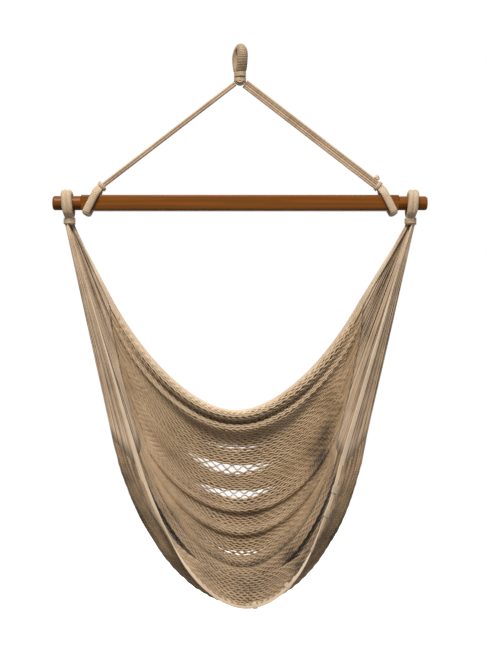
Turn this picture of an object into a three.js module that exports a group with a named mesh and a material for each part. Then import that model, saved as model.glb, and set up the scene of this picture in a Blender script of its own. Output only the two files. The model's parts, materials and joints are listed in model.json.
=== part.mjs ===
import * as THREE from 'three';

// Hammock chair. One rope eye carries a wooden spreader bar on two legs of cord, and a net seat
// hangs from two rope eyes on the turned ends of the bar.
// Millimetres. +Z is up, +X runs along the bar, and -Y is the side that a sitter faces.
// The origin is the place where a hook bears inside the hanging eye.

// Clearance between pieces that touch, and the wider one round anything that is wound on
const touchGap = 0.35;
const seizingEase = 2;
const legGap = 1.2;

// Spreader bar: square in the middle, turned round at both ends
const barLength = 1000;
const barSide = 41;
const barEdgeRadius = 5;
const barEndDiameter = 38;
const barEndLength = 78;
const barShoulder = 5;
const barTipRound = 6;
const barBelowHook = 406;

// Hanging eye, a thick rope loop whose hole faces along the bar
const hangEyeHole = 30;
const hangEyeHeight = 71;
const hangRopeWidth = 21;
const hangRopeThickness = 15;
const crownWidth = 27;
const crownThickness = 20;
const hangEyeTurn = 18;

// Whipping and seizing cord
const windingDiameter = 3;
const windingPitch = 3.8;
const whippingPitch = 4.9;
const legWhippingTurns = 8;
const throatSeizingTurns = 3;
const barEyeSeizingTurns = 2;
const clewSeizingTurns = 4;

// Throat, where the cords gather under the hanging eye and the chair swings
const throatDiameter = 33;
const throatCollar = 5;

// Suspension cords
const cordDiameter = 5.5;
const cordSpacing = 5.9;
const throatClearance = 0.6;

// Bar eyes, which hold the square part of the bar a little in from its ends
const barEyeInset = 26;
const barEyeTilt = 27;
const barEyeWidth = 21;
const barEyeThickness = 12;
const barEyeEndThickness = 9.5;
const barEyeThroat = 45;
const barEyeSlack = 0.8;
const knotDiameter = 17;

// Clew eyes, which turn on the round ends of the bar, in from its tips
const clewEyeInset = 40;
const clewEyeLean = 0.106;
const clewEyeWidth = 29;
const clewEyeThickness = 17;
const clewNeckWidth = 24;
const clewNeckThickness = 12;
const clewEyeDrop = 57.5;
const clewEyeSlack = 0.4;

// Clews, the fans of straight cord between the clew eyes and the net
const clewBundleRadius = 9;
const clewBundleThickness = 8;
const clewBundleStartAngle = 30;
const clewBundleEndAngle = 250;
const hanksPerSide = 10;
const hankGap = 0.28;

// Seat net
const seatDrop = 981;
const seatDepth = 230;
const backSway = -10;
const frontSway = 18;
const seatBalance = -30;
const netThickness = 4;
const netStations = 26;
const edgeCordDiameter = 8;
const edgeCordGap = 0.8;

// Facets
const barSides = 32;
const ropeSides = 10;
const ropeSteps = 30;
const windingSteps = 14;
const windingSides = 6;
const roundSides = 24;
const edgeCordSides = 8;
const hankSteps = 4;
const tipAngles = [0, 30, 60, 90];
const ballAngles = [0, 15, 30, 45, 60, 75];
const knotAngles = [-75, -45, -15, 15, 45, 75];

// One row for each long line of the net, from the back rim to the front hem: how low its middle
// hangs, how far out the net reaches on it, how low the net's side edge lies there, all as shares
// of the seat's drop and half width, how far it stands back, or forward where it is negative, and
// how far its fold stands out from that at the middle, both as shares of the seat's depth
const netLineShares = [
  [0.516, 0.746, 0.212, 0.300, 0.033],
  [0.528, 0.742, 0.228, 0.305, -0.044],
  [0.543, 0.740, 0.248, 0.315, 0.029],
  [0.561, 0.734, 0.269, 0.325, -0.047],
  [0.588, 0.731, 0.293, 0.355, 0.012],
  [0.644, 0.703, 0.359, 0.420, 0.024],
  [0.708, 0.673, 0.432, 0.460, 0.040],
  [0.763, 0.643, 0.492, 0.470, 0.041],
  [0.791, 0.625, 0.525, 0.460, -0.027],
  [0.822, 0.613, 0.547, 0.440, 0.038],
  [0.850, 0.600, 0.569, 0.410, -0.043],
  [0.891, 0.587, 0.587, 0.360, 0.040],
  [0.918, 0.579, 0.600, 0.260, 0.018],
  [0.940, 0.576, 0.615, 0.120, -0.020],
  [0.963, 0.592, 0.625, 0.022, 0.000],
  [1.009, 0.643, 0.618, -0.050, 0.000],
  [1.020, 0.711, 0.595, -0.150, 0.000],
  [0.991, 0.731, 0.579, -0.260, 0.000],
  [0.934, 0.663, 0.616, -0.360, 0.000],
  [0.960, 0.622, 0.634, -0.460, 0.000],
  [1.000, 0.585, 0.649, -0.550, 0.000],
];
const lineHandleShare = 0.6;
const edgeDepthShare = 0.5;

// The rope loops, as shares of their half width and of their height
const hangLegShares = [0.80, 0.50];
const clewLegShares = [0.88, 0.40];
const barEyeShares = [[0.84, -0.93], [1.02, -0.42], [1.02, 0.38], [0.92, 0.98]];
const crownSpreadShare = 0.20;
const neckSpreadShare = 0.16;

// Places of the four cords across a leg, as shares of their spacing: side by side, or bunched
const ribbonShares = [[-1.5, 0], [-0.5, 0], [0.5, 0], [1.5, 0]];
const bunchShares = [[-0.5, -0.5], [-0.5, 0.5], [0.5, -0.5], [0.5, 0.5]];

const degree = Math.PI / 180;
const right = 1;
const left = -1;
const alongBar = new THREE.Vector3(1, 0, 0);
const towardsBack = new THREE.Vector3(0, 1, 0);
const upward = new THREE.Vector3(0, 0, 1);

// Places that several pieces share
const barZ = -barBelowHook;
const barEyeOffset = barLength / 2 - barEndLength - barEyeInset;
const clewEyeOffset = barLength / 2 - clewEyeInset;
const hangThroatZ = -hangEyeHeight;
const throatRadius = throatDiameter / 2;
const throatTopZ = hangThroatZ - touchGap;
const swingPivot = new THREE.Vector3(0, 0, throatTopZ - throatCollar);
const neckZ = barZ - clewEyeDrop;
const clewSeizingLength = clewSeizingTurns * windingPitch + windingDiameter;
const clewNeckTop = clewSeizingLength - clewEyeDrop;
const neckX = clewEyeOffset + clewEyeLean * clewNeckTop;

const cotton = new THREE.MeshStandardMaterial({ color: 0xc9ad86, roughness: 0.9, metalness: 0 });
const whippedCotton = new THREE.MeshStandardMaterial({ color: 0xd2b998, roughness: 0.85, metalness: 0 });
const nettedCotton = new THREE.MeshStandardMaterial({ color: 0xb8996c, roughness: 0.95, metalness: 0 });
const stainedWood = new THREE.MeshStandardMaterial({ color: 0x8a4e19, roughness: 0.45, metalness: 0 });

const chair = new THREE.Group();

// A named piece from points and triangles, with its faces turned outwards
function addSolid(name, points, faces, material) {
  let volume = 0;
  const cross = new THREE.Vector3();
  for (const [a, b, c] of faces) {
    volume += points[a].dot(cross.crossVectors(points[b], points[c]));
  }
  const outward = volume < 0 ? faces.map(([a, b, c]) => [a, c, b]) : faces;
  const geometry = new THREE.BufferGeometry();
  const coordinates = points.flatMap((point) => point.toArray());
  geometry.setAttribute('position', new THREE.Float32BufferAttribute(coordinates, 3));
  geometry.setIndex(outward.flat());
  geometry.computeVertexNormals();
  const mesh = new THREE.Mesh(geometry, material);
  mesh.name = name;
  chair.add(mesh);
}

// A skin over rings of points with both ends capped. A strip's ring runs out along one face and
// back along the other. The column that is given has its diagonals the other way round.
function addLoft(name, rings, material, { strip = false, turnedColumn = -1 } = {}) {
  const size = rings[0].length;
  const points = rings.flat();
  const faces = [];
  for (let ring = 0; ring < rings.length - 1; ring += 1) {
    for (let i = 0; i < size; i += 1) {
      const j = (i + 1) % size;
      const [a, b] = [ring * size + i, ring * size + j];
      const [c, d] = [a + size, b + size];
      if (i === turnedColumn) faces.push([a, b, c], [b, d, c]);
      else faces.push([a, b, d], [a, d, c]);
    }
  }
  const last = (rings.length - 1) * size;
  if (strip) {
    for (let i = 0; i < size / 2 - 1; i += 1) {
      const k = size - 1 - i;
      faces.push([i, k, k - 1], [i, k - 1, i + 1]);
      faces.push([last + i, last + k - 1, last + k], [last + i, last + i + 1, last + k - 1]);
    }
  } else {
    for (const [start, forward] of [[0, false], [last, true]]) {
      const centre = new THREE.Vector3();
      for (let i = 0; i < size; i += 1) centre.addScaledVector(points[start + i], 1 / size);
      points.push(centre);
      for (let i = 0; i < size; i += 1) {
        const j = (i + 1) % size;
        const pair = forward ? [start + i, start + j] : [start + j, start + i];
        faces.push([points.length - 1, ...pair]);
      }
    }
  }
  addSolid(name, points, faces, material);
}

// The two directions across a path: the wide one follows the axis given, the thick one is square to both
function across(tangent, wideAxis) {
  const wide = wideAxis.clone().addScaledVector(tangent, -wideAxis.dot(tangent)).normalize();
  return { wide, thick: new THREE.Vector3().crossVectors(tangent, wide).normalize() };
}

// An oval ring of points round a centre
function ovalRing(centre, { wide, thick }, halfWidth, halfThickness, sides) {
  const ring = [];
  for (let i = 0; i < sides; i += 1) {
    const angle = (2 * Math.PI * i) / sides;
    const point = centre.clone().addScaledVector(wide, halfWidth * Math.cos(angle));
    ring.push(point.addScaledVector(thick, halfThickness * Math.sin(angle)));
  }
  return ring;
}

// A rope along a path, with half width and half thickness from sizeAt
function addRope(name, path, wideAxis, sizeAt, material) {
  const rings = [];
  for (let step = 0; step <= ropeSteps; step += 1) {
    const share = step / ropeSteps;
    const [halfWidth, halfThickness] = sizeAt(share);
    const axes = across(path.getTangentAt(share), wideAxis);
    rings.push(ovalRing(path.getPointAt(share), axes, halfWidth, halfThickness, ropeSides));
  }
  addLoft(name, rings, material);
}

// The least gap between the loops of a winding
function leastSelfGap(centres) {
  let least = Infinity;
  for (let i = 0; i < centres.length; i += 1) {
    for (let j = i + Math.floor(windingSteps / 2); j < centres.length; j += 1) {
      least = Math.min(least, centres[i].distanceTo(centres[j]));
    }
  }
  return least - windingDiameter;
}

// One unbroken cord wound round a stretch of a path, from its own half sizes at its middle line
function addWinding(name, path, [from, to], wideAxis, sizeAt, turns) {
  const centres = [];
  const outwards = [];
  const steps = turns * windingSteps;
  const reach = 1 / Math.cos(Math.PI / windingSteps);
  for (let step = 0; step <= steps; step += 1) {
    const share = from + ((to - from) * step) / steps;
    const angle = (2 * Math.PI * step) / windingSteps;
    const [halfWidth, halfThickness] = sizeAt(share);
    const { wide, thick } = across(path.getTangentAt(share), wideAxis);
    const outward = wide.multiplyScalar(halfWidth * reach * Math.cos(angle));
    outward.addScaledVector(thick, halfThickness * reach * Math.sin(angle));
    centres.push(path.getPointAt(share).add(outward));
    outwards.push(outward.clone().normalize());
  }
  const rings = centres.map((centre, step) => {
    const before = centres[Math.max(step - 1, 0)];
    const after = centres[Math.min(step + 1, steps)];
    const tangent = after.clone().sub(before).normalize();
    const radius = windingDiameter / 2;
    return ovalRing(centre, across(tangent, outwards[step]), radius, radius, windingSides);
  });
  addLoft(name, rings, whippedCotton);
  console.log(`${name}: ${turns} turns, least gap to itself ${leastSelfGap(centres).toFixed(2)} mm`);
}

// Half sizes of a winding's middle line over a rope of the half sizes given
function wound([halfWidth, halfThickness], ease) {
  const out = windingDiameter / 2 + ease;
  return [halfWidth + out, halfThickness + out];
}

// Radius at an angle of a square with eased edges
function easedSquare(angle) {
  const half = barSide / 2;
  const flat = half - barEdgeRadius;
  const quarter = Math.PI / 2;
  const turn = Math.abs(angle - Math.round(angle / quarter) * quarter);
  if (half * Math.tan(turn) <= flat) return half / Math.cos(turn);
  const along = flat * (Math.cos(turn) + Math.sin(turn));
  return along + Math.sqrt(along * along - 2 * flat * flat + barEdgeRadius * barEdgeRadius);
}

function addSpreaderBar() {
  const endRadius = barEndDiameter / 2;
  const stations = [];
  for (const turn of tipAngles) {
    const inset = barTipRound * (1 - Math.sin(turn * degree));
    stations.push([barLength / 2 - barTipRound * (1 - Math.cos(turn * degree)), endRadius - inset, false]);
  }
  stations.push([barLength / 2 - barEndLength + barShoulder, endRadius, false]);
  stations.push([barLength / 2 - barEndLength, endRadius, true]);
  const mirrored = stations.map(([x, radius, square]) => [-x, radius, square]).reverse();
  const rings = [...stations, ...mirrored].map(([x, radius, square]) => {
    const ring = [];
    for (let i = 0; i < barSides; i += 1) {
      const angle = (2 * Math.PI * i) / barSides;
      const reach = square ? easedSquare(angle) : radius;
      ring.push(new THREE.Vector3(x, reach * Math.cos(angle), barZ + reach * Math.sin(angle)));
    }
    return ring;
  });
  addLoft('spreader_bar', rings, stainedWood);
}

// A smooth loop through points on one half, mirrored front to back
function loopThrough(half, place) {
  const back = half.map(([p, q]) => place(p, q));
  const front = half.slice(0, -1).reverse().map(([p, q]) => place(-p, q));
  return new THREE.CatmullRomCurve3([...back, ...front]);
}

function addHangingEye() {
  const reach = hangEyeHole / 2 + hangRopeThickness / 2;
  const crownZ = crownThickness / 2 - reach;
  const throatHalf = (hangRopeThickness + legGap) / 2;
  const seizingLength = throatSeizingTurns * windingPitch + windingDiameter;
  const half = [
    [throatHalf, hangThroatZ],
    [throatHalf, hangThroatZ + seizingLength],
    [reach * hangLegShares[0], hangThroatZ * hangLegShares[1]],
    [reach, crownZ],
    [reach * Math.SQRT1_2, crownZ + reach * Math.SQRT1_2],
    [0, crownZ + reach],
  ];
  const turn = hangEyeTurn * degree;
  const path = loopThrough(half, (p, q) => new THREE.Vector3(0, p, q).applyAxisAngle(upward, turn));
  const wideAxis = alongBar.clone().applyAxisAngle(upward, turn);
  const ropeSize = (share) => {
    const near = Math.max(0, 1 - Math.abs(share - 1 / 2) / crownSpreadShare);
    const swell = Math.sin((near * Math.PI) / 2) ** 2;
    return [
      THREE.MathUtils.lerp(hangRopeWidth, crownWidth, swell) / 2,
      THREE.MathUtils.lerp(hangRopeThickness, crownThickness, swell) / 2,
    ];
  };
  addRope('hanging_eye', path, wideAxis, ropeSize, whippedCotton);
  const start = (seizingLength + windingDiameter) / path.getLength();
  const end = start + (legWhippingTurns * whippingPitch) / path.getLength();
  const windingSize = (share) => wound(ropeSize(share), touchGap);
  const backLeg = [start, end];
  const frontLeg = [1 - end, 1 - start];
  addWinding('hanging_eye_whipping_back', path, backLeg, wideAxis, windingSize, legWhippingTurns);
  addWinding('hanging_eye_whipping_front', path, frontLeg, wideAxis, windingSize, legWhippingTurns);

  const bottom = new THREE.Vector3(0, 0, hangThroatZ + windingDiameter / 2);
  const top = bottom.clone().addScaledVector(upward, seizingLength - windingDiameter);
  const bothLegs = [hangRopeWidth / 2, hangRopeThickness + legGap / 2];
  const seizingSize = () => wound(bothLegs, seizingEase);
  const axis = new THREE.LineCurve3(bottom, top);
  addWinding('throat_seizing', axis, [0, 1], wideAxis, seizingSize, throatSeizingTurns);
}

// The gathered cords under the eye: a short round collar with a ball below, on which the chair swings
function addThroat() {
  const profile = [[throatRadius, throatTopZ]];
  for (const turn of ballAngles) {
    const drop = throatRadius * Math.sin(turn * degree);
    profile.push([throatRadius * Math.cos(turn * degree), swingPivot.z - drop]);
  }
  const level = { wide: alongBar, thick: towardsBack };
  const rings = profile.map(([radius, z]) => (
    ovalRing(new THREE.Vector3(0, 0, z), level, radius, radius, roundSides)
  ));
  addLoft('throat_bundle', rings, cotton);
}

// The loop round the square bar on one side, and the cords from it up to the throat
function addSuspension(side) {
  const name = side === right ? 'right' : 'left';
  const tilt = barEyeTilt * degree;
  const centre = new THREE.Vector3(side * barEyeOffset, 0, barZ);
  const up = new THREE.Vector3(-side * Math.sin(tilt), 0, Math.cos(tilt));
  const wideAxis = new THREE.Vector3(Math.cos(tilt), 0, side * Math.sin(tilt));
  const tiltedReach = Math.hypot((barEyeWidth / 2) * Math.sin(tilt), (barEyeThickness / 2) * Math.cos(tilt));
  const reach = barSide / 2 + barEyeSlack + barEyeThickness / 2;
  const depth = (barSide / 2 + touchGap + tiltedReach) / Math.cos(tilt);
  const throat = centre.clone().addScaledVector(up, barEyeThroat);
  const cordway = swingPivot.clone().sub(throat).normalize();
  const throatHalf = (barEyeEndThickness + legGap) / 2;
  const seizingLead = windingDiameter;
  const seizingLength = seizingLead + barEyeSeizingTurns * windingPitch + windingDiameter;

  const place = (p, q) => centre.clone().addScaledVector(towardsBack, p).addScaledVector(up, q);
  const back = barEyeShares.map(([p, q]) => place(p * reach, q * depth));
  const beyond = (p, along) => throat.clone().addScaledVector(towardsBack, p).addScaledVector(cordway, along);
  const ends = [0, seizingLength / 2, seizingLength];
  const front = barEyeShares.map(([p, q]) => place(-p * reach, q * depth));
  const path = new THREE.CatmullRomCurve3([
    ...ends.map((along) => beyond(throatHalf, along)).reverse(),
    ...back.reverse(),
    place(0, -depth),
    ...front,
    ...ends.map((along) => beyond(-throatHalf, along)),
  ]);
  const seized = seizingLength / path.getLength();
  const ropeSize = (share) => {
    const near = THREE.MathUtils.clamp((Math.min(share, 1 - share) - seized) / neckSpreadShare, 0, 1);
    return [barEyeWidth / 2, THREE.MathUtils.lerp(barEyeEndThickness, barEyeThickness, near) / 2];
  };
  addRope(`${name}_bar_eye`, path, wideAxis, ropeSize, whippedCotton);

  const seizingStart = beyond(0, seizingLead + windingDiameter / 2);
  const seizingEnd = beyond(0, seizingLength - windingDiameter / 2);
  const bothLegs = [barEyeWidth / 2, barEyeEndThickness + legGap / 2];
  const axis = new THREE.LineCurve3(seizingStart, seizingEnd);
  const seizingSize = () => wound(bothLegs, seizingEase);
  addWinding(`${name}_bar_eye_seizing`, axis, [0, 1], wideAxis, seizingSize, barEyeSeizingTurns);

  const axes = across(cordway, wideAxis);
  const start = beyond(0, seizingLength + touchGap);
  const end = swingPivot.clone().addScaledVector(cordway, -(throatRadius + throatClearance));
  const layoutShares = side === right ? ribbonShares : bunchShares;
  layoutShares.forEach(([wide, thick], index) => {
    const offset = axes.wide.clone().multiplyScalar(wide * cordSpacing);
    offset.addScaledVector(axes.thick, thick * cordSpacing);
    const rings = [start, end].map((point) => (
      ovalRing(point.clone().add(offset), axes, cordDiameter / 2, cordDiameter / 2, ropeSides)
    ));
    addLoft(`${name}_suspension_cord_${index + 1}`, rings, cotton);
  });
  if (side === right) {
    const halfRibbon = ((ribbonShares.length - 1) * cordSpacing + cordDiameter) / 2;
    const lift = halfRibbon + touchGap + knotDiameter / 2;
    const onLeg = beyond(0, seizingLength + windingDiameter + knotDiameter / 2);
    addKnot(onLeg, axes, Math.sign(axes.wide.z) * lift);
  }
}

// The stopper knot of the suspension cord, a round ball of cord on top of the right leg
function addKnot(onLeg, axes, lift) {
  const centre = onLeg.clone().addScaledVector(axes.wide, lift);
  const along = new THREE.Vector3().crossVectors(axes.wide, axes.thick);
  const rings = [];
  for (const turn of knotAngles) {
    const radius = (knotDiameter / 2) * Math.cos(turn * degree);
    const height = (knotDiameter / 2) * Math.sin(turn * degree);
    rings.push(ovalRing(centre.clone().addScaledVector(along, height), axes, radius, radius, ropeSides));
  }
  addLoft('stopper_knot', rings, cotton);
}

function addClewEye(side) {
  const name = side === right ? 'right' : 'left';
  const reach = barEndDiameter / 2 + clewEyeSlack + clewEyeThickness / 2;
  const throatHalf = (clewNeckThickness + legGap) / 2;
  const half = [
    [throatHalf, -clewEyeDrop],
    [throatHalf, clewNeckTop],
    [reach * clewLegShares[0], -clewEyeDrop * clewLegShares[1]],
    [reach, 0],
    [reach * Math.SQRT1_2, reach * Math.SQRT1_2],
    [0, reach],
  ];
  const place = (p, q) => {
    const lean = clewEyeLean * Math.max(q, clewNeckTop);
    return new THREE.Vector3(side * (clewEyeOffset + lean), p, barZ + q);
  };
  const path = loopThrough(half, place);
  const seized = clewSeizingLength / path.getLength();
  const ropeSize = (share) => {
    const near = THREE.MathUtils.clamp((Math.min(share, 1 - share) - seized) / neckSpreadShare, 0, 1);
    return [
      THREE.MathUtils.lerp(clewNeckWidth, clewEyeWidth, near) / 2,
      THREE.MathUtils.lerp(clewNeckThickness, clewEyeThickness, near) / 2,
    ];
  };
  addRope(`${name}_clew_eye`, path, alongBar, ropeSize, whippedCotton);
  const bottom = place(0, windingDiameter / 2 - clewEyeDrop);
  const top = place(0, clewNeckTop - windingDiameter / 2);
  const bothLegs = [clewNeckWidth / 2, clewNeckThickness + legGap / 2];
  const axis = new THREE.LineCurve3(bottom, top);
  const windingSize = () => wound(bothLegs, seizingEase);
  addWinding(`${name}_clew_seizing`, axis, [0, 1], alongBar, windingSize, clewSeizingTurns);
}

// A point of the net. Each long line leaves the straight clew cords at the net's side edge and
// flattens at its middle, as a curve whose handles reach part of the way to where its ends' lines
// cross. The back rim hangs a little to the left, and the front hem's middle to the right.
function netPoint(row, station) {
  const [drop, edge, edgeDrop, depth, fold] = netLineShares[row];
  const share = 1 - Math.abs(2 * station - 1);
  const frontShare = row / (netLineShares.length - 1);
  const edgeX = edge * neckX;
  const edgeZ = neckZ - edgeDrop * seatDrop;
  const lowZ = neckZ - drop * seatDrop;
  const slope = (neckZ - edgeZ) / (neckX - edgeX);
  const crossX = edgeX - (edgeZ - lowZ) / slope;
  const handleX = [THREE.MathUtils.lerp(edgeX, crossX, lineHandleShare), crossX * lineHandleShare];
  const handleZ = THREE.MathUtils.lerp(edgeZ, lowZ, lineHandleShare);
  const blend = [(1 - share) ** 3, 3 * share * (1 - share) ** 2, 3 * share ** 2 * (1 - share), share ** 3];
  const x = blend[0] * edgeX + blend[1] * handleX[0] + blend[2] * handleX[1];
  const z = blend[0] * edgeZ + blend[1] * handleZ + (blend[2] + blend[3]) * lowZ;
  const rise = Math.sin((share * Math.PI) / 2);
  const swing = THREE.MathUtils.lerp(edgeDepthShare, 1, rise);
  const sway = backSway * (1 - frontShare) + frontSway * frontShare * rise;
  const y = (depth * seatDepth + seatBalance) * swing + fold * seatDepth * rise;
  return new THREE.Vector3((station < 1 / 2 ? -x : x) + sway, y, z);
}

// The net's two faces at one station along the bar, as the back-to-front lines of points
function netFaces(station) {
  const step = 1 / netStations;
  const rows = netLineShares.length;
  const lines = { outer: [], inner: [] };
  for (let row = 0; row < rows; row += 1) {
    const before = netPoint(Math.max(row - 1, 0), station);
    const after = netPoint(Math.min(row + 1, rows - 1), station);
    const leftward = netPoint(row, Math.max(station - step, 0));
    const rightward = netPoint(row, Math.min(station + step, 1));
    const normal = new THREE.Vector3().crossVectors(rightward.sub(leftward), after.sub(before)).normalize();
    const middle = netPoint(row, station);
    lines.outer.push(middle.clone().addScaledVector(normal, netThickness / 2));
    lines.inner.push(middle.clone().addScaledVector(normal, -netThickness / 2));
  }
  return lines;
}

function addSeatNet() {
  const rings = [];
  for (let i = 0; i <= netStations; i += 1) {
    const { outer, inner } = netFaces(i / netStations);
    rings.push([...outer, ...inner.reverse()]);
  }
  addLoft('seat_net', rings, nettedCotton, { strip: true });
}

// A place in the bundle under a clew eye, by its angle round the bundle's open side
function bundlePoint(side, angle, radius) {
  const turn = angle * degree;
  const x = neckX - radius * Math.cos(turn);
  return new THREE.Vector3(side * x, radius * Math.sin(turn), neckZ - touchGap);
}

// Flat hanks of clew cord, which widen from a wedge of the round bundle to a strip of the net's edge
function addClew(side) {
  const name = side === right ? 'right' : 'left';
  const { outer, inner } = netFaces(side === right ? 1 : 0);
  const neck = new THREE.Vector3(side * neckX, 0, neckZ);
  const rowsEach = (netLineShares.length - 1) / hanksPerSide;
  const wedge = (clewBundleEndAngle - clewBundleStartAngle) / hanksPerSide;
  const outerRadius = clewBundleRadius + clewBundleThickness / 2;
  const innerRadius = clewBundleRadius - clewBundleThickness / 2;
  const wedgeGap = touchGap / innerRadius / degree / 2;
  const towards = (point, target, length) => {
    const direction = target.clone().sub(point).normalize();
    return point.clone().addScaledVector(direction, length);
  };
  for (let hank = 0; hank < hanksPerSide; hank += 1) {
    const first = hank * rowsEach;
    const rows = [first, first + rowsEach / 2, first + rowsEach];
    const netEnd = (line) => rows.map((row, index) => {
      const offset = index === 1 ? 0 : touchGap;
      const atGap = towards(line[row], neck, hankGap);
      return towards(atGap, line[rows[1]], offset);
    });
    const low = clewBundleStartAngle + hank * wedge + wedgeGap;
    const high = clewBundleStartAngle + (hank + 1) * wedge - wedgeGap;
    const angles = [low, (low + high) / 2, high];
    const neckEnd = (radius) => angles.map((angle) => bundlePoint(side, angle, radius));
    const netRing = [...netEnd(outer), ...netEnd(inner).reverse()];
    const neckRing = [...neckEnd(outerRadius), ...neckEnd(innerRadius).reverse()];
    const rings = [];
    for (let step = 0; step <= hankSteps; step += 1) {
      rings.push(netRing.map((point, index) => point.clone().lerp(neckRing[index], step / hankSteps)));
    }
    const turnedColumn = 2 * rows.length - 1;
    addLoft(`${name}_clew_hank_${hank + 1}`, rings, cotton, { strip: true, turnedColumn });
  }
}

// The heavier cord along the back rim or the front hem, between the net's two side edges
function addEdgeCord(name, row, neighbour) {
  const radius = edgeCordDiameter / 2;
  const offset = edgeCordGap + radius;
  const centres = [];
  for (let i = 0; i <= netStations; i += 1) {
    const point = netPoint(row, i / netStations);
    const before = netPoint(row, Math.max(i - 1, 0) / netStations);
    const along = netPoint(row, Math.min(i + 1, netStations) / netStations).sub(before).normalize();
    const outward = point.clone().sub(netPoint(neighbour, i / netStations));
    outward.addScaledVector(along, -outward.dot(along)).normalize();
    centres.push(point.addScaledVector(outward, offset));
  }
  const rings = centres.map((centre, index) => {
    const before = centres[Math.max(index - 1, 0)];
    const after = centres[Math.min(index + 1, netStations)];
    const axes = across(after.clone().sub(before).normalize(), towardsBack);
    return ovalRing(centre, axes, radius, radius, edgeCordSides);
  });
  addLoft(name, rings, cotton);
}

addSpreaderBar();
addHangingEye();
addThroat();
addSuspension(left);
addSuspension(right);
addClewEye(left);
addClewEye(right);
addSeatNet();
addClew(left);
addClew(right);
addEdgeCord('back_edge_cord', 0, 1);
addEdgeCord('front_edge_cord', netLineShares.length - 1, netLineShares.length - 2);

export default chair;
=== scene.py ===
"""Hammock chair: a net seat on a stained wooden bar, hung by cords from one whipped rope eye.

Metres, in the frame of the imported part: +Z up, +X along the bar, -Y the side that a sitter faces.
"""
import json
from math import atan, cos, pi, radians, sin

import bpy
import numpy as np
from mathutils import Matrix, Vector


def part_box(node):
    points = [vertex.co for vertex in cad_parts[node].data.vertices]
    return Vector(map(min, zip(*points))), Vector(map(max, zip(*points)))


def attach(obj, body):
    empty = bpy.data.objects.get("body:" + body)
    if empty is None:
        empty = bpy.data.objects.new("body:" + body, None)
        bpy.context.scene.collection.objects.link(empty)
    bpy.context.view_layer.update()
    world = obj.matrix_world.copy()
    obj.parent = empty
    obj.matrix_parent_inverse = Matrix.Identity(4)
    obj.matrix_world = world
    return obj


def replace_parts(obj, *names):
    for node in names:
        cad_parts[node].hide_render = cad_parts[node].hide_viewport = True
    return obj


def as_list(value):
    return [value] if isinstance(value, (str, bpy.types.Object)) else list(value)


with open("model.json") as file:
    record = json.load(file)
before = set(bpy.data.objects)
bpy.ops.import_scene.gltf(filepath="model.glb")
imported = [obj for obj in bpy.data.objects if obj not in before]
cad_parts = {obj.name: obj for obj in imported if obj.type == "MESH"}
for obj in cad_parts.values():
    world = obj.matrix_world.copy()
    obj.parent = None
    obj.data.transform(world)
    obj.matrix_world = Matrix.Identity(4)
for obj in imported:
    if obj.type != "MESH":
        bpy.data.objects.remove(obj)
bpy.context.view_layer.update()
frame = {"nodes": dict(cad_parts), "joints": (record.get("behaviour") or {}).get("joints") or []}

bl_info = {
    "name": "Hammock chair",
    "version": (1, 0, 0),
    "blender": (4, 5, 0),
    "location": "View3D > Sidebar > Hammock",
    "description": "Makes the cords, net, eyes and bar of a hammock chair around its packed frame",
    "category": "Add Mesh",
}

BOX = {name: [np.array(corner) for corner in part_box(name)] for name in frame["nodes"]}


def middle(name):
    """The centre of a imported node's box."""
    low, high = BOX[name]
    return (low + high) / 2


# Places that the pieces share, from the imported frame
BAR_Z = middle("spreader_bar")[2]
BAR_HALF = BOX["spreader_bar"][1][0]
NECK_X = middle("right_clew_seizing")[0]
NECK_Z = BOX["right_clew_eye"][0][2]
THROAT_TOP = BOX["throat_bundle"][1][2]
PIVOT = np.array(next(j for j in frame["joints"] if j["name"] == "swing")["pos_m"])
X_AXIS, Y_AXIS, Z_AXIS = np.eye(3)
SIDE_NAMES = {-1: "left", 1: "right"}

# The photograph's frame and the camera that took it
PHOTO_HEIGHT = 662
METRES_PER_PIXEL = 0.002674
HOOK_PIXEL = (240, 51.3)
CENTRE_PIXEL = (243.5, 331)
CAMERA_DISTANCE = 3.2

# Seat net: how far it hangs below the necks, how deep it is, and where it balances
SEAT_DROP = 0.981
SEAT_DEPTH = 0.230
BACK_SWAY = -0.010
FRONT_SWAY = 0.018
SEAT_BALANCE = -0.030

# One row for each main line of the net, from the back rim to the front hem: how low its middle
# hangs, how far out the net reaches on it, how low the net's side edge lies there, all as shares
# of the seat's drop and half width, how far it stands back, or forward where it is negative, and
# how far its fold stands out from that at the middle, both as shares of the seat's depth
LINE_SHARES = np.array([
    [0.516, 0.746, 0.212, 0.300, 0.033],
    [0.528, 0.742, 0.228, 0.305, -0.044],
    [0.543, 0.740, 0.248, 0.315, 0.029],
    [0.561, 0.734, 0.269, 0.325, -0.047],
    [0.588, 0.731, 0.293, 0.355, 0.012],
    [0.644, 0.703, 0.359, 0.420, 0.024],
    [0.708, 0.673, 0.432, 0.460, 0.040],
    [0.763, 0.643, 0.492, 0.470, 0.041],
    [0.791, 0.625, 0.525, 0.460, -0.027],
    [0.822, 0.613, 0.547, 0.440, 0.038],
    [0.850, 0.600, 0.569, 0.410, -0.043],
    [0.891, 0.587, 0.587, 0.360, 0.040],
    [0.918, 0.579, 0.600, 0.260, 0.018],
    [0.940, 0.576, 0.615, 0.120, -0.020],
    [0.963, 0.592, 0.625, 0.022, 0.000],
    [1.009, 0.643, 0.618, -0.050, 0.000],
    [1.020, 0.711, 0.595, -0.150, 0.000],
    [0.991, 0.731, 0.579, -0.260, 0.000],
    [0.934, 0.663, 0.616, -0.360, 0.000],
    [0.960, 0.622, 0.634, -0.460, 0.000],
    [1.000, 0.585, 0.649, -0.550, 0.000],
])
LAST_LINE = len(LINE_SHARES) - 1

# How far a long line's handles reach towards where its ends' tangents cross, and how much of its
# depth front to back it has at the side edges
HANDLE_SHARE = 0.6
EDGE_DEPTH_SHARE = 0.5

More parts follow.
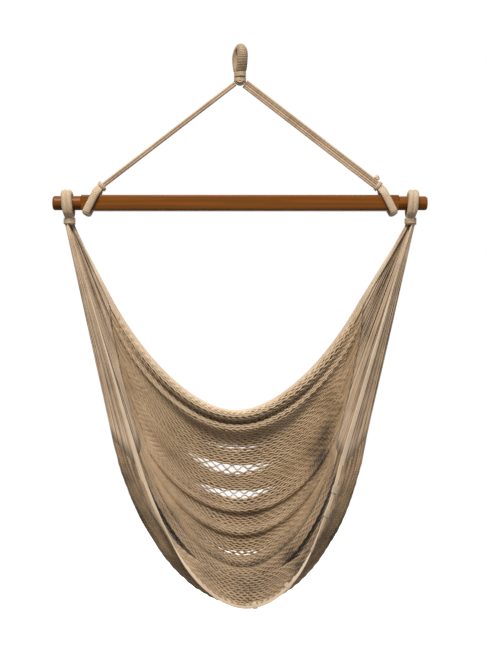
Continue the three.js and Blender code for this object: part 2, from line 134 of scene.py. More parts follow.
# Creases that the rolls of net hang over, as main line, depth in metres, width in lines, where
# they are deepest as a share of the way to the middle, how far they reach as such a share, and how
# dark the painted shade in them is. Then the step for slopes, and how near the side edges their
# painted shade fades out
CREASES = (
    (2.0, 0.008, 0.32, 1.00, 0.75, 0.35), (4.0, 0.007, 0.50, 1.00, 0.60, 0.15),
    (7.4, 0.004, 0.22, 0.80, 0.45, 0.25), (8.4, 0.008, 0.26, 1.00, 0.60, 0.30),
    (9.4, 0.004, 0.22, 0.75, 0.35, 0.10), (10.4, 0.008, 0.26, 1.00, 0.60, 0.45),
    (11.6, 0.004, 0.22, 0.70, 0.35, 0.30), (12.5, 0.009, 0.26, 1.00, 0.60, 0.70),
    (3.3, 0.006, 0.35, 0.35, 0.22, 0.30), (6.2, 0.004, 0.30, 0.45, 0.22, 0.25),
    (12.8, 0.008, 0.15, 0.33, 0.22, 1.30), (14.3, 0.010, 0.16, 0.34, 0.26, 1.50),
    (15.8, 0.008, 0.45, 0.42, 0.26, 0.60), (17.0, 0.006, 0.40, 0.35, 0.20, 0.40),
)
CREASE_STEP = 0.01
SIDE_FADE = 0.12

# Stretches where the cells stand open near the seat's middle, as main line, half width in lines,
# how many times wider the spacing is there, and the station at the stretch's middle. Then how far
# they reach along the net, and how much wider the spacing is where the cells are fully open
OPEN_CELLS = (
    (4.55, 0.20, 1.35, 0.51), (5.50, 0.22, 1.9, 0.45), (6.68, 0.20, 2.0, 0.48), (11.5, 0.25, 1.4, 0.48),
)
OPEN_REACH = 0.13
OPEN_SWELL = 0.75

# How finely the net is worked out: the main line that its cells are measured on, steps along it and
# down the middle, the step for slopes, and for the two layers the steps in a cell and a cord's sides
GUIDE_LINE = 7.0
GUIDE_STEPS = 801
MIDDLE_STEPS = 2001
LINE_STEP = 0.02
LAYER_STEPS = (16, 14)
LAYER_SIDES = (5, 4)
FLAT_SIDES = 4

# The weave: how flat the zigzag's turns are; where the net is closed, half a cord's width as a share
# of the spacing, the widest spacing that counts, and the cord's thickness as a share of the open
# one's; how far neighbours keep apart where they meet, as a share of their width, and how much less
# where closed; how many closed cells go to an open one; how deep a cord dives under its neighbours
# and how far apart the layers lie, as shares of a cord
WAVE_FLATNESS = 1.6
CLOSED_HALF_SHARE = 0.36
WIDEST_PITCH = 1.5
CLOSED_THICKNESS = 0.8
MEETING_SHARE = 0.92
CLOSED_OVERLAP = 0.12
CLOSED_RATE = 1.5
INTERLOCK = 0.30
LAYER_GAP = 0.85

# Its unevenness: in radians, how far each row's cells lean past the last row's, are shifted by chance
# and drift along the row; and how far a cord strays along the cloth, in spacings, and out of it
CELL_LEAN = 0.35
ROW_SHIFT = 2.0
PHASE_WANDER = 0.7
LINE_WANDER = 0.25
LIFT_WANDER = 0.0007

# Near the side edges: the share of the swing that is left and how far the full swing reaches from
# the middle, but not in the back rolls, up to a main line and fading out before it; how far cords
# run straight from the edge at most, its least share, its share at the back rim, over how many
# spacings the weave then starts, how many cords make a group, and how far a group draws together
SIDE_SWING = 0.70
SIDE_CALM = 0.42
RIM_WEAVE_END = 4.5
RIM_WEAVE_FADE = 1.5
STRAIGHT_REACH = 0.090
STRAIGHT_LEAST = 0.1
RIM_STRAIGHT = 0.25
WEAVE_FADE = 2
STRAIGHT_GROUP = 4
GROUP_DRAW = 0.30

# Flat dark sheets between the layers, which stand in for shade seen through the gaps (painted
# shade): steps, half width as a share of the spacing and at least, how fast they end where cells
# open, half thickness, and their painted shade in the weave and between straight cords
CORE_STEPS = 110
CORE_COVER = 0.55
CORE_LEAST = 0.0002
CORE_FADE = 1.6
CORE_HALF_THICKNESS = 0.00015
CORE_PAINTED_SHADE = -0.52
SLIT_PAINTED_SHADE = -0.70

# Tones of the net: the painted shade on a cord's side that faces the other layer, and how high up
# its side that starts; how far cords differ; streaks at the side edges and their reach; how much
# paler it is at some main lines, painted light at the back rim and painted shade towards the hem,
# where it is negative; and places of painted shade, as main line, half width in lines, station,
# reach along the net and darkness
CREVICE_PAINTED_SHADE = 0.65
CREVICE_START = 0.35
NET_TONE_SPREAD = 0.12
SIDE_SHADE = 0.55
SIDE_SHADE_REACH = 0.10
# Painted light at the back rim, and painted shade towards the hem where it is negative
PAINTED_LIGHT_AND_SHADE = ((0.0, 0.55), (2.5, 0.15), (5.0, 0.05), (12.0, 0.0), (15.0, -0.28), (20.0, -0.25))
SHADED = (
    (7.5, 3.0, 0.85, 0.08, 0.70), (14.3, 1.0, 0.70, 0.06, 0.60), (19.5, 1.2, 0.74, 0.06, 0.70),
    (17.8, 1.5, 0.10, 0.06, 0.25), (11.4, 0.8, 0.40, 0.12, 0.15),
)

# The net's strips, as shares of the way from the back rim to the hem
NET_STRIPS = (
    ("net_back_rolls", 0.0, 0.13), ("net_upper_panel", 0.13, 0.26), ("net_middle_panel", 0.26, 0.39),
    ("net_low_panel", 0.39, 0.52), ("net_seat_rolls", 0.52, 0.65), ("net_pouch_back", 0.65, 0.77),
    ("net_pouch_front", 0.77, 0.89), ("net_front_skirt", 0.89, 1.0),
)

# Clews: the angles in degrees and the radii of the cords in the neck and how far they go up into
# it, the hanks and how far they draw together, how far a cord strays, and cords to each line of net
BUNDLE_START = 30
BUNDLE_END = 250
BUNDLE_RADII = (0.0045, 0.0100, 0.0072, 0.0120)
BUNDLE_TUCK = 0.004
HANKS = 12
HANK_PULL = 0.20
CORD_SLACK = 0.0020
CLEW_DENSITY = 2
CLEW_STEPS = 14
CLEW_SIDES = 6

# Their cords' thickness as a share of net cord, at the neck, as it grows and at most; their half
# width at the net and that of the flat inner cords, which carry painted shade, as shares of the
# spacing; the flat cords' thickness
CLEW_THIN = 0.6
CLEW_GROWTH = 1.6
CLEW_FULL = 0.84
CLEW_COVER = 0.46
SLIT_COVER = 0.75
SLIT_HALF_THICKNESS = 0.0003

# Their tones: how far cords differ, how much darker some are and how many; how dark the painted
# shade on the flat cords between them is, how fast that starts below the neck and how it eases at
# the net; and how pale cords end
CLEW_TONE_SPREAD = 0.45
CLEW_DARKER = 0.6
CLEW_DARK_SHARE = 0.22
CLEW_SLIT_PAINTED_SHADE = -0.90
CLEW_SLIT_RISE = 3
CLEW_END_EASE = 0.6
CLEW_END_LIFT = 0.15

# Bands of taut cord along the net's back rim and hem: their cords, how far they lie over the net,
# their spacing and thickness as shares of a cord's width, how slim they start in the neck and for
# what share of their length; how pale they are; steps along the net and up to a neck; and the
# windings that tie the front one: where, on what share of their path, how loose and how pale
EDGE_BAND_WIDTH = 0.0150
EDGE_CORDS = 7
EDGE_BAND_OVERLAP = 0.0040
BAND_HALF = EDGE_BAND_WIDTH / (2 * EDGE_CORDS)
BAND_PITCH = 2 * BAND_HALF * 0.94
BAND_HALF_THICK = BAND_HALF * 1.3
BAND_NECK_RADIUS = 0.007
BAND_SLIM = 0.45
BAND_SLIM_REACH = 0.05
BAND_TONES = (0.4, 0.8)
BAND_STEPS = 220
BAND_END_STEPS = 24
TIE_WRAP_X = (0.247, 0.226, 0.186, 0.122, 0.040)
TIE_STRETCH = (0.2, 0.8)
TIE_EASE = 0.0012
TIE_TONE = 0.4

# Windings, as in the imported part: the cord of the seizings, their pitch, how loose they lie and the
# gap between the legs that they hold; how deep a whipping's cord stands out from its rope; a
# rope's sides, its strands, and the cosine of an eighth of a turn
WINDING = 0.003
SEIZING_PITCH = 0.0038
SEIZING_EASE = 0.0012
LEG_GAP = 0.0012
WINDING_DEPTH = 0.35
ROPE_SIDES = 24
STRANDS = 3
EIGHTH_TURN = 0.7071

# Hanging eye: its hole, legs and crown, how far it is turned in degrees, where its loop narrows as
# shares of its half width and height, how much it swells past the seizing in whipping cords, and the
# share of its length on which the crown grows; its whipping's cord and pitch; and its tone, painted
# shade that darkens the whole eye
HANG_HOLE = 0.030
HANG_HEIGHT = 0.071
HANG_WIDTH = 0.0235
HANG_THICKNESS = 0.015
CROWN_WIDTH = 0.022
CROWN_THICKNESS = 0.020
CROWN_REACH = 0.20
HANG_TURN = 18
HANG_WAIST = (0.80, 0.50)
HANG_SWELL = 1.2
HANG_CORD_SHARE = 1.45
HANG_PITCH_SHARE = 0.92
HANG_SEIZING = 3 * SEIZING_PITCH + WINDING
EYE_PAINTED_SHADE = 0.50

# Clew eyes, on the round ends of the bar: two ropes each, side by side
BAR_END_DIAMETER = 0.038
CLEW_EYE_LEAN = 0.106
CLEW_EYE_WIDTH = 0.029
CLEW_EYE_THICKNESS = 0.017
CLEW_NECK_WIDTH = 0.024
CLEW_NECK_THICKNESS = 0.012
CLEW_EYE_DROP = 0.0575
CLEW_EYE_SLACK = 0.0004
CLEW_WAIST = (0.88, 0.40)
CLEW_SEIZING = 4 * SEIZING_PITCH + WINDING
LOBE_APART = 0.8
LOBE_WIDTH = 1.2
LOBE_CORD_SHARE = 0.8
LOBE_PITCH_SHARE = 0.9
EYE_SWELL_REACH = 0.16

# The bar, and the bar eyes round its square part
BAR_SIDE = 0.041
BAR_EDGE_RADIUS = 0.005
BAR_END_LENGTH = 0.078
BAR_TIP_ROUND = 0.006
BAR_SHOULDER = 0.003
BAR_EYE_INSET = 0.026
BAR_EYE_TILT = radians(27)
BAR_EYE_WIDTH = 0.021
BAR_EYE_THICKNESS = 0.012
BAR_EYE_END_THICKNESS = 0.0095
BAR_EYE_THROAT = 0.045
BAR_EYE_SLACK = 0.0008
BAR_EYE_SHARES = ((0.92, 0.98), (1.02, 0.38), (1.02, -0.42), (0.84, -0.93))
BAR_EYE_PITCH_SHARE = 1.35
BAR_SEIZING = 2 * SEIZING_PITCH + 2 * WINDING
TOUCH_GAP = 0.00035

# The legs of cord that rise from them: the cords' places beside each other and in a bunch, in
# spacings, half a cord's width with its strands' ridges as a share of it, and how dark each leg is
ROPE_SPACING = 0.0059
RIBBON_SHARES = ((-1.5, 0.0), (-0.5, 0.0), (0.5, 0.0), (1.5, 0.0))
BUNCH_SHARES = ((-0.5, -0.5), (-0.5, 0.5), (0.5, -0.5), (0.5, 0.5))
LAID_HALF = 0.56
LAID_DEPTH = 0.03
LEG_STEPS = 420
LEG_TONE_SPREAD = 0.2
LEG_SHADES = {-1: 0.10, 1: 0.28}

# The stopper knot: its size, how far it sinks between the cords, its cord's share of the leg's one,
# how deep it is as a share of its size, how deep its strands are laid, and its tone
KNOT_DIAMETER = 0.017
KNOT_SINK = 0.0036
KNOT_CORD_SHARE = 1.45
KNOT_DEPTH = 1.6
KNOT_LAY_DEPTH = 0.18
KNOT_TONE = 0.4

# Cords gathered under the eye: the ball they lie on and its clearance, their number, the share of
# it that they spread over, how deep they sink in at the legs in cords, how far down they hang, how
# far they draw in towards the eye across and front to back, how far they bulge on the way, how deep
# they are laid; and the wrapped collar over them
THROAT_RADIUS = 0.0165
THROAT_CLEARANCE = 0.0006
THROAT_CORDS = 5
THROAT_SPREAD = 0.92
THROAT_SINK = 0.3
THROAT_SAG = 0.9
THROAT_DRAW = (0.45, 0.75)
THROAT_BULGE = 0.12
THROAT_LAY_DEPTH = 0.2
THROAT_TUCK = 0.001
COLLAR_HEIGHT = 0.0105

# Cotton finishes: the colours' names, how much the plies differ in tone, which is painted shade in
# their grooves and painted light on their ridges, and their relief
COTTONS = {
    "netted cotton": ("net", 0.20, 0.0003),
    "straight cotton cord": ("cord", 0.12, 0.0002),
    "whipped cotton": ("whipping", 0.10, 0.00004),
}

# Stage: what the lamps point at, the floor, the world's level on the object, and each lamp's name,
# place, size, power and colour
SEAT_MIDDLE = (0.0, 0.0, -0.9)
FLOOR_Z = -1.85
FLOOR_HALF = 4.0
FLOOR_GLOW = 0.50
WORLD_LEVEL = 0.42
LAMPS = (
    ("key lamp", (-0.8, -3.0, 3.2), 1.6, 340, "fff8f0"),
    ("fill lamp", (2.4, -2.2, -0.4), 2.0, 14, "f1f2ff"),
    ("back lamp", (1.6, 3.4, 1.8), 2.0, 90, "fff8f0"),
)


class ChairSizes(bpy.types.PropertyGroup):
    """Sizes of cords and netting."""

    line_spacing: bpy.props.FloatProperty(
        name="Line spacing", description="Distance between two long lines of closed net",
        default=0.0064, unit="LENGTH", subtype="DISTANCE")
    cell_length: bpy.props.FloatProperty(
        name="Cell length", description="Length of one cell of the net along the bar",
        default=0.029, unit="LENGTH", subtype="DISTANCE")
    net_cord: bpy.props.FloatProperty(
        name="Net cord", description="Diameter of the cord that the net is made of",
        default=0.0026, unit="LENGTH", subtype="DISTANCE")
    rope: bpy.props.FloatProperty(
        name="Suspension cord", description="Diameter of the cords between the bar and the eye",
        default=0.0055, unit="LENGTH", subtype="DISTANCE")
    rope_lay: bpy.props.FloatProperty(
        name="Lay length", description="Length of one turn of the suspension cord's strands",
        default=0.016, unit="LENGTH", subtype="DISTANCE")
    whipping: bpy.props.FloatProperty(
        name="Whipping cord", description="Diameter of the cord wound round the eyes",
        default=0.0028, unit="LENGTH", subtype="DISTANCE")
    fold_depth: bpy.props.FloatProperty(
        name="Fold depth", description="How deep the creases under the net's rolls are",
        default=1.0, min=0.0, max=2.0, subtype="FACTOR")


def colour_property(name, description, default):
    """A colour that a user would change, given as its six hex digits."""
    return bpy.props.StringProperty(name=name, description=description, default=default)


class ChairColours(bpy.types.PropertyGroup):
    """Colours, as sRGB hex values."""

    net_pale: colour_property("Net, pale", "Raised parts of the netting", "d4bd9d")
    net_deep: colour_property("Net, deep", "Hollows of the netting", "a48a6a")
    # The darkest colour of every cotton: painted shade between cords and layers, in creases and on the dark
    # sheets
    painted_shade_colour: colour_property("Crevice", "Dusty shade between cords and layers", "2c2013")
    cord_pale: colour_property("Cord, pale", "Raised parts of the straight cords", "d6c4ac")
    cord_deep: colour_property("Cord, deep", "Hollows of the straight cords", "a68e73")
    whipping_pale: colour_property("Whipping, pale", "Crowns of the wound cord", "d6c6ae")
    whipping_deep: colour_property("Whipping, deep", "Between the wound cords", "a89276")
    wood_pale: colour_property("Wood, pale", "Early wood under the stain", "794404")
    wood_deep: colour_property("Wood, deep", "Late wood and knots under the stain", "2a1400")


def linear(hex_digits):
    """The linear colour, with alpha, of an sRGB hex value."""
    channels = np.array([int(hex_digits[i:i + 2], 16) for i in (0, 2, 4)]) / 255
    low = channels <= 0.04045
    flat = np.where(low, channels / 12.92, ((channels + 0.055) / 1.055) ** 2.4)
    return (*flat, 1.0)


def set_sockets(made, values):
    """Sets sockets of a node to the values given for their names or numbers."""
    for name, value in values.items():
        made.inputs[name].default_value = value


def node(tree, kind, links=None, **settings):
    """Adds a shader node, sets its properties and sockets, and links its inputs."""
    made = tree.nodes.new(kind)
    for name, value in settings.items():
        if name in made.inputs:
            made.inputs[name].default_value = value
        else:
            setattr(made, name, value)
    for name, source in (links or {}).items():
        tree.links.new(source, made.inputs[name])
    return made


def new_material(name):
    """An empty node material, its tree and its Principled shader."""
    material = bpy.data.materials.new(name)
    material.use_nodes = True
    tree = material.node_tree
    return material, tree, tree.nodes["Principled BSDF"]


def tint(tree, shader, value, low, high, dark, pale, between=None):
    """Colours a shader by a value from low to high, from a dark hex colour to a pale one, with
    others between them at their places from 0 to 1."""
    share = node(tree, "ShaderNodeMapRange", {"Value": value}, **{"From Min": low, "From Max": high})
    ramp = node(tree, "ShaderNodeValToRGB", {"Fac": share.outputs["Result"]})
    ramp.color_ramp.elements[0].color = linear(dark)
    ramp.color_ramp.elements[1].color = linear(pale)
    for place, colour in (between or {}).items():
        ramp.color_ramp.elements.new(place).color = linear(colour)
    tree.links.new(ramp.outputs["Color"], shader.inputs["Base Color"])


def spun_cotton(name, pale, deep, painted_shade_colour, ply_painted_shade, relief):
    """Spun cotton cord: matt and slightly fuzzy. Its plies run round it as slanting ridges, which
    follow the cord's own UV map, and its tone changes softly from cord to cord and along each."""
    material, tree, shader = new_material(name)
    set_sockets(shader, {"Roughness": 0.92, "Specular IOR Level": 0.25, "Sheen Weight": 0.25,
                         "Sheen Roughness": 0.5})
    along = node(tree, "ShaderNodeUVMap", uv_map="cord")
    plies = node(tree, "ShaderNodeTexWave", {"Vector": along.outputs["UV"]},
                 bands_direction="DIAGONAL", Scale=pi / 10, Distortion=0.4)
    # Painted shade and light: the plies' colour follows the wave of their bump, darker in the grooves and
    # paler on the ridges
    ply_shade = node(tree, "ShaderNodeMapRange", {"Value": plies.outputs["Fac"]},
                     **{"To Min": 0.5 - ply_painted_shade / 2, "To Max": 0.5 + ply_painted_shade / 2})
    place = node(tree, "ShaderNodeTexCoord")
    patches = node(tree, "ShaderNodeTexNoise", {"Vector": place.outputs["Object"]},
                   Scale=14.0, Detail=4.0, Roughness=0.6)
    fibres = node(tree, "ShaderNodeTexNoise", {"Vector": place.outputs["Object"]},
                  Scale=900.0, Detail=2.0)
    tone = node(tree, "ShaderNodeAttribute", attribute_name="tone")
    mixed = node(tree, "ShaderNodeMath", {0: ply_shade.outputs["Result"], 1: patches.outputs["Fac"]},
                 operation="ADD")
    toned = node(tree, "ShaderNodeMath", {0: mixed.outputs[0], 1: tone.outputs["Fac"]},
                 operation="ADD")
    tint(tree, shader, toned.outputs[0], 0.0, 1.9, painted_shade_colour, pale, {0.4: deep})
    height = node(tree, "ShaderNodeMath", {0: plies.outputs["Fac"], 1: fibres.outputs["Fac"]},
                  operation="ADD")
    bump = node(tree, "ShaderNodeBump", {"Height": height.outputs[0]}, Strength=0.6, Distance=relief)
    tree.links.new(bump.outputs["Normal"], shader.inputs["Normal"])
    return material


def stained_wood(pale, deep):
    """Turned pine under a brown stain and satin varnish: long grain along the bar, darker late
    wood, and a gloss that is a little uneven where the brush ran."""
    material, tree, shader = new_material("stained pine")
    set_sockets(shader, {"Specular IOR Level": 0.15, "Coat Weight": 0.03, "Coat Roughness": 0.2})
    place = node(tree, "ShaderNodeTexCoord")
    drawn_out = node(tree, "ShaderNodeMapping", {"Vector": place.outputs["Object"]},
                     Location=(0.0, 0.012, 0.03 - BAR_Z), Scale=(0.9, 14.0, 14.0))
    warp = node(tree, "ShaderNodeTexNoise", {"Vector": drawn_out.outputs["Vector"]},
                Scale=2.2, Detail=3.0, Distortion=0.6)
    rings = node(tree, "ShaderNodeTexWave", {"Vector": drawn_out.outputs["Vector"]},
                 wave_type="RINGS", rings_direction="X", Scale=1.6, Distortion=7.0, Detail=3.0)
    fine = node(tree, "ShaderNodeMapping", {"Vector": place.outputs["Object"]}, Scale=(2.0, 120.0, 120.0))
    pores = node(tree, "ShaderNodeTexNoise", {"Vector": fine.outputs["Vector"]},
                 Scale=1.0, Detail=5.0, Roughness=0.65)
    soft_rings = node(tree, "ShaderNodeMapRange", {"Value": rings.outputs["Fac"]}, **{"To Min": 0.55})
    grain = node(tree, "ShaderNodeMath", {0: soft_rings.outputs["Result"], 1: warp.outputs["Fac"]},
                 operation="MULTIPLY")
    mixed = node(tree, "ShaderNodeMath", {0: grain.outputs[0], 1: pores.outputs["Fac"]},
                 operation="ADD")
    tint(tree, shader, mixed.outputs[0], 0.15, 1.25, deep, pale)
    gloss = node(tree, "ShaderNodeMapRange", {"Value": warp.outputs["Fac"]},
                 **{"To Min": 0.32, "To Max": 0.52})
    tree.links.new(gloss.outputs["Result"], shader.inputs["Roughness"])
    bump = node(tree, "ShaderNodeBump", {"Height": pores.outputs["Fac"]}, Strength=0.12, Distance=0.0005)
    tree.links.new(bump.outputs["Normal"], shader.inputs["Normal"])
    return material


def add_mesh(name, shape, tone, material, body):
    """A finished piece from a shape, which is an array of points, arrays of faces and their corners'
    UVs, and from a tone for all or for each point. It sits at the origin and rides on its body."""
    points, faces, uv = shape
    mesh = bpy.data.meshes.new(name)
    corners = np.concatenate([part.ravel() for part in faces])
    totals = np.concatenate([np.full(len(part), part.shape[1]) for part in faces])
    mesh.vertices.add(len(points))
    mesh.vertices.foreach_set("co", np.ascontiguousarray(points, np.float32).ravel())
    mesh.loops.add(len(corners))
    mesh.loops.foreach_set("vertex_index", corners.astype(np.int32))
    mesh.polygons.add(len(totals))
    mesh.polygons.foreach_set("loop_start", (np.cumsum(totals) - totals).astype(np.int32))
    mesh.polygons.foreach_set("use_smooth", np.ones(len(totals), bool))
    mesh.uv_layers.new(name="cord").data.foreach_set("uv", uv.astype(np.float32).ravel())
    tones = np.full(len(points), tone, np.float32)
    mesh.attributes.new("tone", "FLOAT", "POINT").data.foreach_set("value", tones)
    mesh.update(calc_edges=True)
    mesh.materials.append(material)
    piece = bpy.data.objects.new(name, mesh)
    bpy.context.scene.collection.objects.link(piece)
    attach(piece, body)
    return piece


def held(value):
    """A value, held between 0 and 1."""
    return np.clip(value, 0, 1)


def bell(value, middle, reach):
    """A bell curve: 1 at the middle, and 1 / e at the reach on both sides of it."""
    return np.exp(-((value - middle) / reach) ** 2)


def distances(points):
    """How far along a line each of its points is."""
    return np.concatenate([[0], np.cumsum(np.linalg.norm(np.diff(points, axis=0), axis=1))])


def unit(vectors):
    """The vectors at length one."""
    return vectors / np.maximum(np.linalg.norm(vectors, axis=-1, keepdims=True), 1e-12)


def tangents(lines):
    """The direction of each line at each of its points, from the points on both sides."""
    return unit(np.gradient(lines, axis=-2))


def square_to(tangent, axis):
    """The part of an axis that is square to a tangent, at length one."""
    return unit(axis - tangent * np.sum(axis * tangent, axis=-1, keepdims=True))


def tubes(lines, wide_axis, half_wide, half_thick, sides, turns=0.0, lobes=0, lobe_depth=0.0):
    """Closed tubes along lines of points, as (points, faces, uv). Round the tube, a point is the
    centre + wide half width times the cosine + thick half width times the sine of its angle.
    Lobes make the radius smaller by lobe_depth between strands, which wind round by turns."""
    count, steps, _ = lines.shape
    tangent = tangents(lines)
    wide = square_to(tangent, np.broadcast_to(wide_axis, lines.shape))
    thick = np.cross(tangent, wide)
    angle = np.arange(sides) * (2 * pi / sides)
    reach = np.ones((1, steps, sides))
    if lobes:
        twist = np.linspace(0, 2 * pi * turns, steps)[None, :, None]
        reach = 1 - lobe_depth * np.abs(np.cos((angle + twist) * lobes / 2)) ** 3
    half_wide = np.broadcast_to(half_wide, (count, steps))[:, :, None, None]
    half_thick = np.broadcast_to(half_thick, (count, steps))[:, :, None, None]
    ring = wide[:, :, None] * half_wide * np.cos(angle)[:, None]
    ring = ring + thick[:, :, None] * half_thick * np.sin(angle)[:, None]
    return skins(lines[:, :, None] + ring * reach[..., None], lines, 2 * np.mean(half_wide))


def skins(rings, lines, width):
    """Closed skins over rings of points, (count, steps, sides, 3), as (points, faces, uv). A face
    joins two neighbours of a ring to the same two of the next, and a cap closes each end. The UV
    runs along the line, one unit for each width, and once round the ring."""
    count, steps, sides, _ = rings.shape
    points = rings.reshape(-1, 3)
    line, step, side = np.meshgrid(np.arange(count), np.arange(steps - 1), np.arange(sides), indexing="ij")
    base = (line * steps + step) * sides
    following = (side + 1) % sides
    quads = np.stack([base + side, base + following, base + sides + following, base + sides + side], -1)
    starts = (np.arange(count) * steps * sides)[:, None]
    caps = [starts + np.arange(sides)[::-1], starts + (steps - 1) * sides + np.arange(sides)]
    length = np.linalg.norm(np.diff(lines, axis=1), axis=-1)
    along = np.concatenate([np.zeros((count, 1)), np.cumsum(length, axis=1)], axis=1)
    along = along / width
    u = np.stack([along[line, step], along[line, step], along[line, step + 1], along[line, step + 1]], -1)
    v = np.stack([side, side + 1, side + 1, side], -1) / sides
    uv = np.stack([u, v], -1).reshape(-1, 2)
    uv = np.concatenate([uv, np.zeros((2 * count * sides, 2))])
    return points, [quads.reshape(-1, 4), *caps], uv


def joined(parts):
    """Several (points, faces, uv) made one."""
    points, faces, quads_uv, caps_uv = [], {}, [], []
    offset = 0
    for part_points, part_faces, part_uv in parts:
        quads = part_faces[0]
        faces.setdefault(4, []).append(quads + offset)
        for cap in part_faces[1:]:
            faces.setdefault(("cap", cap.shape[1]), []).append(cap + offset)
        quads_uv.append(part_uv[:quads.size])
        caps_uv.append(part_uv[quads.size:])
        points.append(part_points)
        offset += len(part_points)
    ordered = [np.concatenate(faces.pop(4))] + [np.concatenate(part) for part in faces.values()]
    return np.concatenate(points), ordered, np.concatenate(quads_uv + caps_uv)


def smooth(table, at):
    """Values between the rows of a table, on a Catmull-Rom curve: each row is met, with a slope of
    half the step between its neighbours."""
    table = np.asarray(table, float)
    padded = np.concatenate([[2 * table[0] - table[1]], table, [2 * table[-1] - table[-2]]])
    row = np.clip(np.floor(at).astype(int), 0, len(table) - 2)
    t = (np.asarray(at) - row)[..., None]
    a, b, c, d = (padded[row + i] for i in range(4))
    return b + t * (c - a + t * (2 * a - 5 * b + 4 * c - d + t * (3 * (b - c) + d - a))) / 2


def evenly(points, count):
    """The points of a line moved to equal steps along it, and its length."""
    along = distances(points)
    at = np.linspace(0, along[-1], count)
    return np.stack([np.interp(at, along, points[:, i]) for i in range(3)], 1), along[-1]


def even_tone(seed, spread=0.1):
    """One tone for a whole piece, by chance."""
    return np.random.default_rng(seed).uniform(-spread, spread)


def seat_surface(line, station):
    """A point of the seat, for a main line (0 at the back rim to LAST_LINE at the hem) and a
    station (0 at the left end to 1 at the right). Each long line is a curve from the net's side
    edge to its lowest point in the middle: it leaves along the straight clew cords, and its two
    handles reach part of the way to where its ends' tangents cross. The back rim hangs a little to
    the left, and the front hem's middle to the right."""
    drop, edge, edge_drop, depth, fold = np.moveaxis(smooth(LINE_SHARES, line), -1, 0)
    share = 1 - np.abs(2 * station - 1)
    front = line / LAST_LINE
    edge_x = edge * NECK_X
    edge_z = NECK_Z - edge_drop * SEAT_DROP
    low_z = NECK_Z - drop * SEAT_DROP
    cross_x = edge_x - (edge_z - low_z) * (NECK_X - edge_x) / (NECK_Z - edge_z)
    handle_x = edge_x + (cross_x - edge_x) * HANDLE_SHARE
    handle_z = edge_z + (low_z - edge_z) * HANDLE_SHARE
    rest = 1 - share
    x = rest ** 3 * edge_x + 3 * share * rest ** 2 * handle_x
    x = x + 3 * share ** 2 * rest * cross_x * HANDLE_SHARE
    z = rest ** 3 * edge_z + 3 * share * rest ** 2 * handle_z
    z = z + (3 * share ** 2 * rest + share ** 3) * low_z
    rise = np.sin(share * pi / 2)
    swing = EDGE_DEPTH_SHARE + (1 - EDGE_DEPTH_SHARE) * rise
    y = (depth * SEAT_DEPTH + SEAT_BALANCE) * swing + fold * SEAT_DEPTH * rise
    sway = BACK_SWAY * (1 - front) + FRONT_SWAY * front * rise
    return np.stack(np.broadcast_arrays(np.where(station < 0.5, -x, x) + sway, y, z), -1)


def creases(line, station):
    """How deep the creases are at a place and how dark their painted shade is: for each, a bell curve
    of the line times a bell curve of the way to the middle, and nothing at the side edges."""
    share = 1 - np.abs(2 * station - 1)
    push = np.zeros(np.broadcast_shapes(np.shape(line), np.shape(station)))
    shade = np.zeros_like(push)
    for at, deep, width, strongest, reach, dark in CREASES:
        groove = bell(line, at, width) * bell(share, strongest, reach)
        push = push + deep * groove * np.sin(share * pi / 2)
        # Painted shade in each crease
        shade = shade + dark * groove * held(share / SIDE_FADE)
    return push, shade


def openness(line, station):
    """How far the net's cells stand open, from 0 to 1: bell curves of the line round each open
    stretch, by how much wider the spacing is there, times a bell curve round the middle."""
    return held(sum((times - 1) / OPEN_SWELL * bell(line, at, half) * bell(station, middle, OPEN_REACH)
                    for at, half, times, middle in OPEN_CELLS))


def on_net(line):
    """A main-line place, held between the back rim and the hem."""
    return np.clip(line, 0, LAST_LINE)


def creased_surface(line, station, fold_depth):
    """The seat with its creases: grooves pressed into it from the sitter's side, square to the
    cloth."""
    line, station = np.broadcast_arrays(np.asarray(line, float), np.asarray(station, float))
    downward = (seat_surface(on_net(line + CREASE_STEP), station)
                - seat_surface(on_net(line - CREASE_STEP), station))
    rightward = (seat_surface(line, held(station + CREASE_STEP))
                 - seat_surface(line, held(station - CREASE_STEP)))
    push = fold_depth * creases(line, station)[0]
    return seat_surface(line, station) + unit(np.cross(rightward, downward)) * push[..., None]


def line_places(spacing):
    """The main-line place of every long cord of the net, at the side edges and at the middle.
    Cords are evenly spaced along the cloth from back to front, but stand wider at the middle
    where the cells are open."""
    fine = np.linspace(0, LAST_LINE, MIDDLE_STEPS)
    shut = distances(seat_surface(fine, np.full(MIDDLE_STEPS, 0.5)))
    between = (fine[1:] + fine[:-1]) / 2
    wider = 1 + sum((times - 1) * bell(between, at, half) for at, half, times, _ in OPEN_CELLS)
    opened = np.concatenate([[0], np.cumsum(np.diff(shut) / wider)])
    count = int(round(opened[-1] / spacing)) + 1
    at_sides = np.interp(np.linspace(0, shut[-1], count), shut, fine)
    at_middle = np.interp(np.linspace(0, opened[-1], count), opened, fine)
    return at_sides, at_middle


def lines_along(spacing, station):
    """The main-line place of every long cord at each station, and at the side edges."""
    at_sides, at_middle = line_places(spacing)
    near = bell(station, 0.5, OPEN_REACH)
    return at_sides[:, None] + (at_middle - at_sides)[:, None] * near, at_sides


def wander(count, steps, seed, knots=9):
    """Smooth random numbers from -1 to 1 on a grid: a few random knots with smooth curves between."""
    values = np.random.default_rng(seed).uniform(-1, 1, (max(count // 6, 4), knots))
    across_lines = smooth(values, np.linspace(0, len(values) - 1, count))
    return smooth(across_lines.T, np.linspace(0, knots - 1, steps)).T


def zigzag(phase):
    """A wave between -1 and 1 with short flats at its turns: the hyperbolic tangent of a cosine."""
    return np.tanh(WAVE_FLATNESS * np.cos(phase)) / np.tanh(WAVE_FLATNESS)


def grouped(places, size):
    """Places drawn together in groups of neighbours, part of the way to each group's mean."""
    group = np.arange(len(places)) // size
    means = np.bincount(group, places) / np.bincount(group)
    return places + (means[group] - places) * GROUP_DRAW


